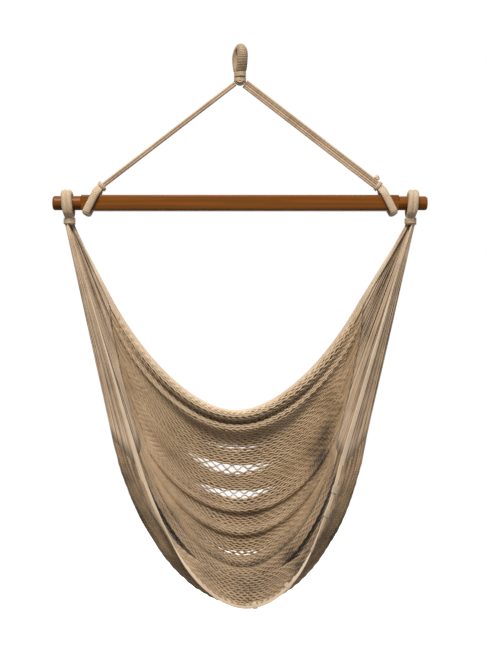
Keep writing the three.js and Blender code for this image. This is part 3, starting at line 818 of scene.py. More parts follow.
def net_shade(lines, station, from_side):
    """How dark each place of the net is: the painted shade of its creases and shaded places, bell
    curves of the line times bell curves of the station, streaks at the side edges, and less where it
    is paler, with painted light at the back rim and painted shade towards the hem."""
    shaded = sum(dark * bell(lines, at, half) * bell(station, middle, reach)
                 for at, half, middle, reach, dark in SHADED)
    streaks = np.random.default_rng(47).uniform(0, SIDE_SHADE, (len(lines), 1))
    streaks = streaks * held(1 - from_side / SIDE_SHADE_REACH)
    return creases(lines, station)[1] - np.interp(lines, *np.transpose(PAINTED_LIGHT_AND_SHADE)) + shaded + streaks


def net_lines(sizes, layer, steps_per_cell):
    """Centre lines of one layer of net, its across direction, its half widths, the painted shade on
    the side that faces the other layer, and how dark it is all round.
    Neighbouring cords swing to and fro in opposite phase, so that they meet in short flats and part
    in six-sided cells. The swing is half of what the local spacing leaves beside the cord. Where the
    net is closed the cells are shorter and lean over, and the second layer covers the first one's
    gaps; where it is open the second layer lies on the first. Near the side edges each cord runs
    straight, for a length that differs from one small group of cords to the next."""
    spacing, cord = sizes.line_spacing, sizes.net_cord
    arc = distances(seat_surface(np.full(GUIDE_STEPS, GUIDE_LINE), np.linspace(0, 1, GUIDE_STEPS)))
    steps = int(arc[-1] / sizes.cell_length * steps_per_cell) + 1
    along = np.linspace(0, arc[-1], steps)
    station = np.interp(along, arc, np.linspace(0, 1, GUIDE_STEPS))
    phase = 2 * pi * (along - arc[-1] / 2) / sizes.cell_length
    lines, at_sides = lines_along(spacing, station)
    count = len(lines)
    stray = LINE_WANDER * (LAST_LINE / count) * wander(count, steps, 11)
    lines = on_net(lines + stray * np.sin(station * pi))
    ahead, behind = on_net(lines + LINE_STEP), on_net(lines - LINE_STEP)
    across = (creased_surface(ahead, station, sizes.fold_depth)
              - creased_surface(behind, station, sizes.fold_depth)) / (ahead - behind)[..., None]
    stretch = np.linalg.norm(across, axis=-1)
    pitch = np.abs(np.gradient(lines, axis=0)) * stretch
    opened = openness(lines, station)

    groups = np.random.default_rng(41).uniform(STRAIGHT_LEAST, 1, count // STRAIGHT_GROUP + 1)
    straight = STRAIGHT_REACH * np.repeat(groups, STRAIGHT_GROUP)[:count]
    straight = straight * np.clip(at_sides / RIM_WEAVE_END, RIM_STRAIGHT, 1)
    from_side = np.minimum(station, 1 - station) * arc[-1]
    woven = held((from_side - straight[:, None]) / (WEAVE_FADE * spacing))
    half_wide = CLOSED_HALF_SHARE * np.minimum(pitch, WIDEST_PITCH * spacing)
    half_wide = half_wide * (1 - opened) + cord / 2 * opened
    half_wide = cord / 2 + (half_wide - cord / 2) * woven
    half_thick = cord / 2 * (CLOSED_THICKNESS + (1 - CLOSED_THICKNESS) * opened)

    apart = half_wide * (MEETING_SHARE - CLOSED_OVERLAP * (1 - opened))
    back_rolls = held((RIM_WEAVE_END - lines) / RIM_WEAVE_FADE)
    central = np.maximum(bell(station, 0.5, SIDE_CALM), back_rolls)
    swing = np.clip(pitch / 2 - apart, 0, None) * woven * (SIDE_SWING + (1 - SIDE_SWING) * central)
    drift = PHASE_WANDER * wander(count, steps, 23)
    index = np.arange(count)[:, None]
    sign = np.where(index % 2 == 0, 1.0, -1.0)
    shift = np.random.default_rng(43).uniform(-ROW_SHIFT, ROW_SHIFT, (count, 1))
    closed_phase = CLOSED_RATE * phase + pi * layer + CELL_LEAN * index + shift + 2 * drift
    wave = sign * (zigzag(closed_phase) * (1 - opened) + zigzag(phase + drift) * opened)
    wave[[0, -1]] = 0
    beside = layer * (1 - woven) * pitch / 2 * (1 - GROUP_DRAW)
    drawn = (grouped(at_sides, STRAIGHT_GROUP) - at_sides)[:, None] * (1 - woven)
    at = on_net(lines + drawn + (swing * wave + beside) / stretch)
    centre = creased_surface(at, station, sizes.fold_depth)
    lift = (0.5 - layer) * cord * LAYER_GAP * woven + LIFT_WANDER * wander(count, steps, 31 + layer, 40)
    lift = lift + INTERLOCK * cord * sign * np.sin(closed_phase) * woven * central * (1 - opened)
    centre = centre + unit(np.cross(tangents(centre), across)) * lift[..., None]
    # Painted shade on the side of each cord that faces the other layer
    layer_side_painted_shade = CREVICE_PAINTED_SHADE * (1 - opened) * woven
    return centre, across, half_wide, half_thick, layer_side_painted_shade, net_shade(lines, station, from_side)


def painted_shade_core(sizes):
    """Flat dark sheets between the two layers, one along each long cord, which stand in for the shade
    seen through the gaps (painted shade): as wide as the spacing where the net is closed and gone
    where it is open: centre lines, across direction, half width and painted shade, which is darkest
    where the cords run straight in groups."""
    station = np.linspace(0, 1, CORE_STEPS)
    lines, _ = lines_along(sizes.line_spacing, station)
    centre = creased_surface(lines, station, sizes.fold_depth)
    steps = np.linalg.norm(np.diff(centre, axis=0), axis=-1)
    widest = np.maximum(np.concatenate([steps[:1], steps]), np.concatenate([steps, steps[-1:]]))
    half_wide = CORE_COVER * widest * held(1 - CORE_FADE * openness(lines, station)) + CORE_LEAST
    along = distances(centre[len(centre) // 2])
    from_side = np.minimum(along, along[-1] - along)
    # Painted shade on the core sheets, darkest between straight cords
    tone = CORE_PAINTED_SHADE + (SLIT_PAINTED_SHADE - CORE_PAINTED_SHADE) * held(1 - from_side / STRAIGHT_REACH)
    return centre, unit(np.gradient(centre, axis=0)), half_wide, np.broadcast_to(tone, lines.shape)


def make_net(sizes, material):
    """The seat's net, as strips of long cords from side to side, each in two woven layers over dark
    sheets of painted shade. A cord's tone falls towards the side that faces the other layer: painted
    shade between the layers."""
    layers = [net_lines(sizes, layer, steps) for layer, steps in enumerate(LAYER_STEPS)]
    core = painted_shade_core(sizes)
    count = len(core[0])
    tones = np.random.default_rng(5).uniform(-NET_TONE_SPREAD, NET_TONE_SPREAD, count)
    strips = []
    for name, start, end in NET_STRIPS:
        own = slice(int(round(start * count)), int(round(end * count)))
        parts, tone = [], []
        for layer, sides, outward in zip(layers, LAYER_SIDES, (1, -1)):
            centre, across, wide, thick, layer_side_painted_shade, shade = (part[own] for part in layer)
            parts.append(tubes(centre, across, wide, thick, sides))
            # Painted shade: darker on the side facing the other layer, in creases and in shaded places
            height = outward * np.sin(np.arange(sides) * (2 * pi / sides))
            inward = held((CREVICE_START - height) / (1 + CREVICE_START))
            tone.append((tones[own, None, None] - layer_side_painted_shade[..., None] * inward - shade[..., None]).ravel())
        # Dark core sheets of painted shade between the layers
        core_centre, core_across, core_half, core_painted_shade = (part[own] for part in core)
        parts.append(tubes(core_centre, core_across, core_half, CORE_HALF_THICKNESS, FLAT_SIDES))
        tone.append(np.repeat(core_painted_shade.ravel(), FLAT_SIDES))
        strip = add_mesh(name, joined(parts), np.concatenate(tone), material, "seat")
        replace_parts(strip, "seat_net")
        strips.append((strip, centre))
    return strips


def in_neck(side, radius, angle):
    """Where cords start in the neck of a clew, at a radius and an angle of the bundle."""
    return np.stack([side * (NECK_X - radius * np.cos(angle)), radius * np.sin(angle),
                     np.full(np.shape(angle), NECK_Z + BUNDLE_TUCK)], -1)


def clew_lines(sizes, side, pull):
    """Centre lines of one clew: straight cords from a round bundle in the neck to the end of every
    long line of the net. They draw together in hanks halfway, and none is quite straight."""
    at_sides, _ = line_places(sizes.line_spacing)
    count = CLEW_DENSITY * len(at_sides)
    at_sides = np.interp(np.linspace(0, len(at_sides) - 1, count), np.arange(len(at_sides)), at_sides)
    if pull:
        at_sides = grouped(at_sides, CLEW_DENSITY * STRAIGHT_GROUP)
    net_end = seat_surface(at_sides, np.full(count, float(side > 0)))
    share = np.linspace(0, 1, count)
    angle = np.radians(BUNDLE_START + (BUNDLE_END - BUNDLE_START) * share)
    neck = in_neck(side, np.resize(BUNDLE_RADII, count), angle)
    t = np.linspace(0, 1, CLEW_STEPS)[None, :, None]
    lines = neck[:, None] + (net_end - neck)[:, None] * t
    hank = np.minimum(share * HANKS, HANKS - 1).astype(int)
    gathered = np.stack([lines[hank == h].mean(axis=0) for h in range(HANKS)])
    pulled = (pull * ((hank > 0) & (hank < HANKS - 1)))[:, None, None]
    lines = lines + (gathered[hank] - lines) * pulled * np.sin(pi * t) ** 2
    random = np.random.default_rng(71 + side)
    return lines + random.uniform(-CORD_SLACK, CORD_SLACK, (count, 1, 3)) * np.sin(pi * t)


def make_clew(sizes, side, material):
    """One clew: its straight cords, thinner where they are drawn into the neck, over flat inner
    cords, darkened with painted shade, that close the gaps between the hanks."""
    name = SIDE_NAMES[side]
    lines = clew_lines(sizes, side, HANK_PULL)
    inner = clew_lines(sizes, side, 0.0)
    count = len(lines)
    along = np.linspace(0, 1, CLEW_STEPS)
    half = sizes.net_cord / 2 * np.minimum(CLEW_THIN + CLEW_GROWTH * along, CLEW_FULL)
    apart = np.gradient(inner, axis=0)
    beside = apart - tangents(inner) * np.sum(apart * tangents(inner), axis=-1, keepdims=True)
    spacing = np.linalg.norm(beside, axis=-1)
    half_wide = np.maximum(half, spacing * CLEW_COVER * along ** 2)
    outer = tubes(lines, unit(np.gradient(lines, axis=0)), half_wide, half, CLEW_SIDES)
    flat = tubes(inner, unit(beside), spacing * SLIT_COVER, SLIT_HALF_THICKNESS, FLAT_SIDES)
    random = np.random.default_rng(81 + side)
    tones = random.uniform(-CLEW_TONE_SPREAD, CLEW_TONE_SPREAD, count)
    tones = tones - CLEW_DARKER * (random.uniform(0, 1, count) < CLEW_DARK_SHARE)
    tones = tones[:, None] + CLEW_END_LIFT * along ** 3
    # Painted shade on the flat inner cords, from below the neck, easing at the net
    slit = CLEW_SLIT_PAINTED_SHADE * np.minimum(CLEW_SLIT_RISE * along, 1) * (1 - CLEW_END_EASE * along ** 2)
    tone = np.concatenate([np.repeat(tones, CLEW_SIDES), np.repeat(np.tile(slit, count), FLAT_SIDES)])
    clew = add_mesh(f"{name}_clew_cords", joined([outer, flat]), tone, material, "seat")
    hanks = [node_name for node_name in BOX if node_name.startswith(f"{name}_clew_hank_")]
    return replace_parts(clew, *hanks)


def band_cords(line):
    """Centre lines of the taut cords that edge the net at its back rim or its hem, side by side,
    just outside it: from one neck straight down to the net, along its edge and up to the other."""
    station = np.linspace(0, 1, BAND_STEPS)
    edge, inner = (seat_surface(np.full(BAND_STEPS, float(at)), station) for at in (line, abs(line - 1)))
    outward = square_to(tangents(edge), edge - inner)
    offsets = BAND_HALF - EDGE_BAND_OVERLAP + BAND_PITCH * np.arange(EDGE_CORDS)
    along_net = edge + outward * offsets[:, None, None]
    share = np.linspace(0, 1, BAND_END_STEPS)[:-1, None]
    angle = radians(BUNDLE_START if line == 0 else BUNDLE_END)
    ends = []
    for side, last in ((-1, 0), (1, -1)):
        neck = in_neck(side, BAND_NECK_RADIUS, angle)
        ends.append(neck + (along_net[:, last, None] - neck) * share)
    return np.concatenate([ends[0], along_net, ends[1][:, ::-1]], axis=1)


def make_edge_band(name, line, material):
    """The band of parallel cords that edges the net at the back rim or at the hem."""
    lines = band_cords(line)
    along = np.linspace(0, 1, lines.shape[1])
    slim = BAND_SLIM + (1 - BAND_SLIM) * held(np.minimum(along, 1 - along) / BAND_SLIM_REACH)
    across = unit(np.gradient(lines, axis=0))
    shape = tubes(lines, across, BAND_HALF * slim, BAND_HALF_THICK * slim, CLEW_SIDES)
    tones = np.random.default_rng(91 + line).uniform(*BAND_TONES, EDGE_CORDS)
    tone = np.repeat(tones, len(shape[0]) // EDGE_CORDS)
    band = add_mesh(name, shape, tone, material, "seat")
    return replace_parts(band, name.replace("_band", "_cord"))


def make_band_wraps(material):
    """Short windings that tie the front band's cords together, along its right half."""
    cords = band_cords(LAST_LINE)
    band = cords.mean(axis=0)
    across = unit(cords[-1] - cords[0])
    middle = len(band) // 2
    right_half = band[middle:len(band) - BAND_END_STEPS, 0]
    parts = []
    for x in TIE_WRAP_X:
        at = middle + int(np.argmin(np.abs(right_half - x)))
        path, length = evenly(band[at - 3:at + 4], 30)
        parts.append(winding(path, across[at], EDGE_BAND_WIDTH / 2 + TIE_EASE, BAND_HALF_THICK + TIE_EASE,
                             WINDING, WINDING, length, *TIE_STRETCH, steps=24, sides=6))
    return add_mesh("front_band_wraps", joined(parts), TIE_TONE, material, "seat")


def loop_path(half, place, count=400):
    """A closed-looking rope loop through points on one half, mirrored front to back, at even steps."""
    mirrored = [(-p, q) for p, q in reversed(half[:-1])]
    points = np.array([place(p, q) for p, q in [*half, *mirrored]])
    fine = smooth(points, np.linspace(0, len(points) - 1, 40 * len(points)))
    return evenly(fine, count)


def loop_half(throat_half, foot, neck_top, waist, reach, crown_z):
    """Places on one half of a rope loop, as distance out and height: up the seized legs from their
    foot, out past a waist, given as shares of the reach and of the foot's depth, and round a crown."""
    eighth = reach * EIGHTH_TURN
    return [(throat_half, foot), (throat_half, neck_top), (reach * waist[0], foot * waist[1]),
            (reach, crown_z), (eighth, crown_z + eighth), (0, crown_z + reach)]


def winding(path, wide_axis, half_wide, half_thick, cord, pitch, length, start, end, steps, sides):
    """A cord wound round a stretch of a path: at each step its centre is the path's point + wide
    half width times the cosine + thick half width times the sine of an angle that grows by one
    turn in each pitch."""
    turns = (end - start) * length / pitch
    at = np.linspace(start, end, int(turns * steps) + 1)
    centre = smooth(path, at * (len(path) - 1))
    tangent = tangents(centre)
    wide = square_to(tangent, np.broadcast_to(wide_axis, centre.shape))
    thick = np.cross(tangent, wide)
    angle = np.linspace(0, 2 * pi * turns, len(at))[:, None]
    shares = np.linspace(0, 1, len(path))
    wide_here, thick_here = (np.interp(at, shares, np.broadcast_to(half, len(path)))[:, None]
                             for half in (half_wide, half_thick))
    line = centre + wide * wide_here * np.cos(angle) + thick * thick_here * np.sin(angle)
    return tubes(line[None], tangent, cord / 2, cord / 2, sides)


def whipped_rope(path, wide_axis, half_wide, half_thick, cord, pitch, length, bare):
    """A rope with cord wound round it except for a share of its length at each end, as parts to be
    joined. The half widths are the outer ones, over the cord."""
    share = np.linspace(0, 1, len(path))
    inside = held(np.minimum(share - bare, 1 - bare - share) * length / cord) * cord * WINDING_DEPTH
    return [tubes(path[None], wide_axis, half_wide - inside, half_thick - inside, ROPE_SIDES),
            winding(path, wide_axis, half_wide - cord / 2, half_thick - cord / 2, cord, pitch, length,
                    bare, 1 - bare, steps=20, sides=7)]


def seizing(bottom, top, wide_axis, half_wide, half_thick, turns):
    """Turns of cord round a straight neck, one unbroken winding from its bottom to its top."""
    path, length = evenly(np.array([bottom, (bottom + top) / 2, top]), 30)
    return winding(path, wide_axis, half_wide + WINDING / 2, half_thick + WINDING / 2, WINDING,
                   length / turns, length, 0, 1, steps=28, sides=8)


def add_wraps(name, bottom, top, wide_axis, width, thickness, turns, seed, material, body):
    """The seizing that holds an eye's two legs together, each of the given width and thickness."""
    shape = seizing(bottom, top, wide_axis, width / 2 + SEIZING_EASE,
                    thickness + LEG_GAP / 2 + SEIZING_EASE, turns)
    return add_mesh(name, shape, even_tone(seed), material, body)


def make_hanging_eye(sizes, material):
    """The thick rope eye that the hook goes through, whipped all round, with its legs seized."""
    reach = (HANG_HOLE + HANG_THICKNESS) / 2
    turn = radians(HANG_TURN)
    across = np.array([cos(turn), sin(turn), 0.0])
    back = np.array([-sin(turn), cos(turn), 0.0])
    half = loop_half((HANG_THICKNESS + LEG_GAP) / 2, -HANG_HEIGHT, HANG_SEIZING - HANG_HEIGHT,
                     HANG_WAIST, reach, CROWN_THICKNESS / 2 - reach)
    path, length = loop_path(half, lambda p, q: back * p + Z_AXIS * q)
    share = np.linspace(0, 1, len(path))
    from_seizing = np.minimum(share, 1 - share) * length - HANG_SEIZING
    swell = held(from_seizing / (2 * sizes.whipping)) * HANG_SWELL * sizes.whipping
    crown = np.sin(held(1 - np.abs(share - 0.5) / CROWN_REACH) * pi / 2) ** 2
    wide, thick = (leg / 2 + swell + (top / 2 - leg / 2 - swell) * crown
                   for leg, top in ((HANG_WIDTH, CROWN_WIDTH), (HANG_THICKNESS, CROWN_THICKNESS)))
    cord = sizes.whipping * HANG_CORD_SHARE
    parts = whipped_rope(path, across, wide, thick, cord, cord * HANG_PITCH_SHARE, length,
                         (HANG_SEIZING + sizes.whipping) / length)
    # Painted shade darkens the whole eye
    eye = add_mesh("whipped_hanging_eye", joined(parts), even_tone(1) - EYE_PAINTED_SHADE, material, "eye")
    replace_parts(eye, "hanging_eye", "hanging_eye_whipping_back", "hanging_eye_whipping_front")
    bottom = Z_AXIS * (WINDING / 2 - HANG_HEIGHT)
    top = bottom + Z_AXIS * (HANG_SEIZING - WINDING)
    wraps = add_wraps("throat_wraps", bottom, top, across, HANG_WIDTH, HANG_THICKNESS, 4, 2, material,
                      "eye")
    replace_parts(wraps, "throat_seizing")


def swollen(share, seized, neck, full):
    """Half the thickness of a loop at each share of its length: that of its seized ends, and the
    full one further in."""
    near = held((np.minimum(share, 1 - share) - seized) / EYE_SWELL_REACH)
    return (neck + (full - neck) * near) / 2


def make_clew_eye(sizes, side, material):
    """The loop on a round end of the bar: two whipped ropes side by side, seized in the neck."""
    name = SIDE_NAMES[side]
    reach = BAR_END_DIAMETER / 2 + CLEW_EYE_SLACK + CLEW_EYE_THICKNESS / 2
    neck_top = CLEW_SEIZING - CLEW_EYE_DROP
    eye_x = NECK_X - CLEW_EYE_LEAN * neck_top
    half = loop_half((CLEW_NECK_THICKNESS + LEG_GAP) / 2, -CLEW_EYE_DROP, neck_top, CLEW_WAIST, reach, 0.0)

    def place(p, q):
        return np.array([side * (eye_x + CLEW_EYE_LEAN * max(q, neck_top)), p, BAR_Z + q])

    path, length = loop_path(half, place)
    share = np.linspace(0, 1, len(path))
    seized = CLEW_SEIZING / length
    wide = swollen(share, seized, CLEW_NECK_WIDTH, CLEW_EYE_WIDTH) / 2
    thick = swollen(share, seized, CLEW_NECK_THICKNESS, CLEW_EYE_THICKNESS)
    parts = []
    for lobe in (-1, 1):
        rope = path + X_AXIS * (lobe * wide * LOBE_APART)[:, None]
        parts += whipped_rope(rope, X_AXIS, wide * LOBE_WIDTH, thick, sizes.whipping * LOBE_CORD_SHARE,
                              sizes.whipping * LOBE_PITCH_SHARE, length, seized)
    eye = add_mesh(f"{name}_whipped_clew_eye", joined(parts), even_tone(3 + side), material, "seat")
    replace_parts(eye, f"{name}_clew_eye")
    wraps = add_wraps(f"{name}_clew_wraps", place(0, WINDING / 2 - CLEW_EYE_DROP),
                      place(0, neck_top - WINDING / 2), X_AXIS, CLEW_NECK_WIDTH, CLEW_NECK_THICKNESS,
                      5, 6 + side, material, "seat")
    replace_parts(wraps, f"{name}_clew_seizing")


class Leg:
    """Where one leg of the suspension lies: its bar eye, its throat and the way of its cords."""

    def __init__(self, side):
        self.name = SIDE_NAMES[side]
        self.up = np.array([-side * sin(BAR_EYE_TILT), 0.0, cos(BAR_EYE_TILT)])
        self.wide_axis = np.array([cos(BAR_EYE_TILT), 0.0, side * sin(BAR_EYE_TILT)])
        self.centre = np.array([side * (BAR_HALF - BAR_END_LENGTH - BAR_EYE_INSET), 0.0, BAR_Z])
        self.throat = self.centre + self.up * BAR_EYE_THROAT
        self.cordway = unit(PIVOT - self.throat)
        self.wide = square_to(self.cordway, self.wide_axis)
        self.thick = np.cross(self.cordway, self.wide)
        self.start = self.beyond(0.0, BAR_SEIZING + TOUCH_GAP)
        self.end = PIVOT - self.cordway * (THROAT_RADIUS + THROAT_CLEARANCE)

    def beyond(self, back, along):
        """A place past the throat, so far to the back and so far along the cords."""
        return self.throat + Y_AXIS * back + self.cordway * along


def make_bar_eye(sizes, side, material):
    """The whipped loop round the square part of the bar, with its two ends seized."""
    leg = Leg(side)
    reach = BAR_SIDE / 2 + BAR_EYE_SLACK + BAR_EYE_THICKNESS / 2
    tilted = np.hypot(BAR_EYE_WIDTH / 2 * sin(BAR_EYE_TILT), BAR_EYE_THICKNESS / 2 * cos(BAR_EYE_TILT))
    depth = (BAR_SIDE / 2 + TOUCH_GAP + tilted) / cos(BAR_EYE_TILT)
    throat_half = (BAR_EYE_END_THICKNESS + LEG_GAP) / 2

    def place(p, q):
        return leg.centre + Y_AXIS * p * reach + leg.up * q * depth

    ends = (BAR_SEIZING, BAR_SEIZING / 2, 0.0)
    back = [leg.beyond(throat_half, along) for along in ends] + [place(p, q) for p, q in BAR_EYE_SHARES]
    mirror = np.array([1, -1, 1])
    points = np.array([*back, place(0, -1), *[point * mirror for point in reversed(back)]])
    path, length = evenly(smooth(points, np.linspace(0, len(points) - 1, 600)), 400)
    seized = BAR_SEIZING / length
    thick = swollen(np.linspace(0, 1, len(path)), seized, BAR_EYE_END_THICKNESS, BAR_EYE_THICKNESS)
    parts = whipped_rope(path, leg.wide_axis, np.full(len(path), BAR_EYE_WIDTH / 2), thick,
                         sizes.whipping, sizes.whipping * BAR_EYE_PITCH_SHARE, length, seized)
    eye = add_mesh(f"{leg.name}_whipped_bar_eye", joined(parts), even_tone(8 + side), material,
                   "suspension")
    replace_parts(eye, f"{leg.name}_bar_eye")
    wraps = add_wraps(f"{leg.name}_bar_eye_wraps", leg.beyond(0, 1.5 * WINDING),
                      leg.beyond(0, BAR_SEIZING - WINDING / 2), leg.wide_axis, BAR_EYE_WIDTH,
                      BAR_EYE_END_THICKNESS, 2.5, 12 + side, material, "suspension")
    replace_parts(wraps, f"{leg.name}_bar_eye_seizing")


def make_leg(sizes, side, material):
    """The four laid cords of one leg, taut from the bar eye to the throat: bunched on the left, side
    by side on the right. Each has three strands that wind round it."""
    leg = Leg(side)
    half = sizes.rope * LAID_HALF
    for index, (wide, thick) in enumerate(RIBBON_SHARES if side > 0 else BUNCH_SHARES, 1):
        offset = (leg.wide * wide + leg.thick * thick) * ROPE_SPACING
        ends = np.array([leg.start, (leg.start + leg.end) / 2, leg.end]) + offset
        path, length = evenly(ends, LEG_STEPS)
        shape = tubes(path[None], leg.wide, half, half, 12, turns=length / sizes.rope_lay,
                      lobes=STRANDS, lobe_depth=LAID_DEPTH)
        tone = even_tone(20 + 5 * index + side, LEG_TONE_SPREAD) - LEG_SHADES[side]
        cord = add_mesh(f"{leg.name}_leg_cord_{index}", shape, tone, material, "suspension")
        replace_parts(cord, f"{leg.name}_suspension_cord_{index}")


def make_knot(sizes, material):
    """The stopper knot: the end of the leg's cord tied in a trefoil, whose point at t is
    (sin t + 2 sin 2t, cos t - 2 cos 2t, -sin 3t)."""
    leg = Leg(1)
    lift = (3 * ROPE_SPACING + sizes.rope) / 2 + KNOT_DIAMETER / 2 - KNOT_SINK
    centre = leg.beyond(0, BAR_SEIZING + WINDING + KNOT_DIAMETER / 2)
    centre = centre + leg.wide * np.sign(leg.wide[2]) * lift
    t = np.linspace(0, 2 * pi, 90)[:, None]
    cord = sizes.rope * KNOT_CORD_SHARE
    knot = (leg.wide * (np.sin(t) + 2 * np.sin(2 * t)) + leg.cordway * (np.cos(t) - 2 * np.cos(2 * t))
            - leg.thick * KNOT_DEPTH * np.sin(3 * t))
    line = centre + knot * (KNOT_DIAMETER - cord) / 6
    shape = tubes(line[None], unit(line - centre), cord / 2, cord / 2, 12, turns=5, lobes=STRANDS,
                  lobe_depth=KNOT_LAY_DEPTH)
    piece = add_mesh("leg_stopper_knot", shape, even_tone(40) + KNOT_TONE, material, "suspension")
    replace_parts(piece, "stopper_knot")


def make_throat(sizes, material):
    """The cords that gather under the eye: they come up from one leg, pass under the wraps and go
    down to the other, over a short wrapped collar."""
    legs = Leg(-1), Leg(1)
    inner = THROAT_RADIUS - sizes.rope / 2
    lines = []
    for y in np.linspace(-1, 1, THROAT_CORDS) * inner * THROAT_SPREAD:
        out = np.sqrt(THROAT_RADIUS ** 2 - y ** 2) - sizes.rope * THROAT_SINK
        feet = [PIVOT - leg.cordway * out + Y_AXIS * y for leg in legs]
        low = PIVOT + Y_AXIS * y - Z_AXIS * min(out, inner) * THROAT_SAG
        lines.append([feet[0], low, feet[1]])
        for foot in feet:
            top = np.array([foot[0] * THROAT_DRAW[0], y * THROAT_DRAW[1], THROAT_TOP - THROAT_TUCK])
            lines.append([foot, (foot + top) / 2 + X_AXIS * foot[0] * THROAT_BULGE, top])
    lines = np.array([smooth(line, np.linspace(0, 2, 40)) for line in lines])
    cords = tubes(lines, Y_AXIS, sizes.rope / 2, sizes.rope / 2, 10, turns=2, lobes=STRANDS,
                  lobe_depth=THROAT_LAY_DEPTH)
    radius = THROAT_RADIUS - WINDING
    collar = seizing(Z_AXIS * (THROAT_TOP - COLLAR_HEIGHT), Z_AXIS * (THROAT_TOP - WINDING / 2), X_AXIS,
                     radius, radius, 3)
    piece = add_mesh("throat_cords", joined([cords, collar]), even_tone(41), material, "throat")
    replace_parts(piece, "throat_bundle")


def bar_reach(x, angle):
    """The bar's radius at a place along it and an angle round it: a square with eased edges in the
    middle, a circle at the ends, a short shoulder between, and tips rounded in a quarter circle."""
    half, flat = BAR_SIDE / 2, BAR_SIDE / 2 - BAR_EDGE_RADIUS
    turn = np.abs(angle - np.round(angle / (pi / 2)) * (pi / 2))
    along = flat * (np.cos(turn) + np.sin(turn))
    corner = along + np.sqrt(np.maximum(along ** 2 - 2 * flat ** 2 + BAR_EDGE_RADIUS ** 2, 0))
    square = np.where(half * np.tan(turn) <= flat, half / np.cos(turn), corner)
    from_tip = BAR_HALF - np.abs(x)
    share = np.clip((from_tip - BAR_END_LENGTH + BAR_SHOULDER) / BAR_SHOULDER, 0, 1)
    into_round = np.clip(1 - from_tip / BAR_TIP_ROUND, 0, 1)
    inset = BAR_TIP_ROUND * (1 - np.sqrt(1 - into_round ** 2))
    return (BAR_END_DIAMETER / 2 - inset) * (1 - share) + square * share


def make_bar(material):
    """The spreader bar: one piece of stained wood, square between two turned ends."""
    tip = BAR_TIP_ROUND * (1 - np.cos(np.linspace(0, pi / 2, 9)))
    shoulder = BAR_END_LENGTH - BAR_SHOULDER * np.array([1.25, 1.0, 0.75, 0.5, 0.25, 0.0, -0.3])
    from_tip = np.concatenate([tip, np.linspace(BAR_TIP_ROUND, shoulder[0], 12)[1:-1], shoulder,
                               np.linspace(BAR_END_LENGTH + BAR_SHOULDER, BAR_HALF, 24)])
    x = np.concatenate([-(BAR_HALF - from_tip), (BAR_HALF - from_tip)[::-1][1:]])
    angle = (np.arange(96) * (2 * pi / 96))[None, :]
    radius = bar_reach(x[:, None], angle)
    rings = np.stack([np.broadcast_to(x[:, None], radius.shape), radius * np.cos(angle),
                      BAR_Z + radius * np.sin(angle)], -1)
    line = np.stack([x, np.zeros_like(x), np.full_like(x, BAR_Z)], -1)
    shape = skins(rings[None], line[None], BAR_SIDE)
    bar = add_mesh("stained_bar", shape, even_tone(50), material, "suspension")
    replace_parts(bar, "spreader_bar")


def make_camera():
    """A level camera at the photograph's viewpoint, square to the bar."""
    offset = (np.array(CENTRE_PIXEL) - HOOK_PIXEL) * METRES_PER_PIXEL
    data = bpy.data.cameras.new("camera")
    data.sensor_fit = "VERTICAL"
    data.angle = 2 * atan(PHOTO_HEIGHT * METRES_PER_PIXEL / 2 / CAMERA_DISTANCE)
    camera = bpy.data.objects.new("camera", data)
    camera.location = (offset[0], -CAMERA_DISTANCE, -offset[1])
    camera.rotation_euler = (radians(90), 0, 0)
    bpy.context.scene.collection.objects.link(camera)
    bpy.context.scene.camera = camera


def add_lamp(name, place, size, power, colour):
    """A soft square lamp that points at the middle of the seat."""
    data = bpy.data.lights.new(name, "AREA")
    data.size = size
    data.energy = power
    data.color = linear(colour)[:3]
    lamp = bpy.data.objects.new(name, data)
    lamp.location = place
    away = np.array(place) - np.array(SEAT_MIDDLE)
    lamp.rotation_euler = (np.arctan2(np.hypot(away[0], away[1]), away[2]), 0,
                           np.arctan2(away[0], -away[1]))
    bpy.context.scene.collection.objects.link(lamp)


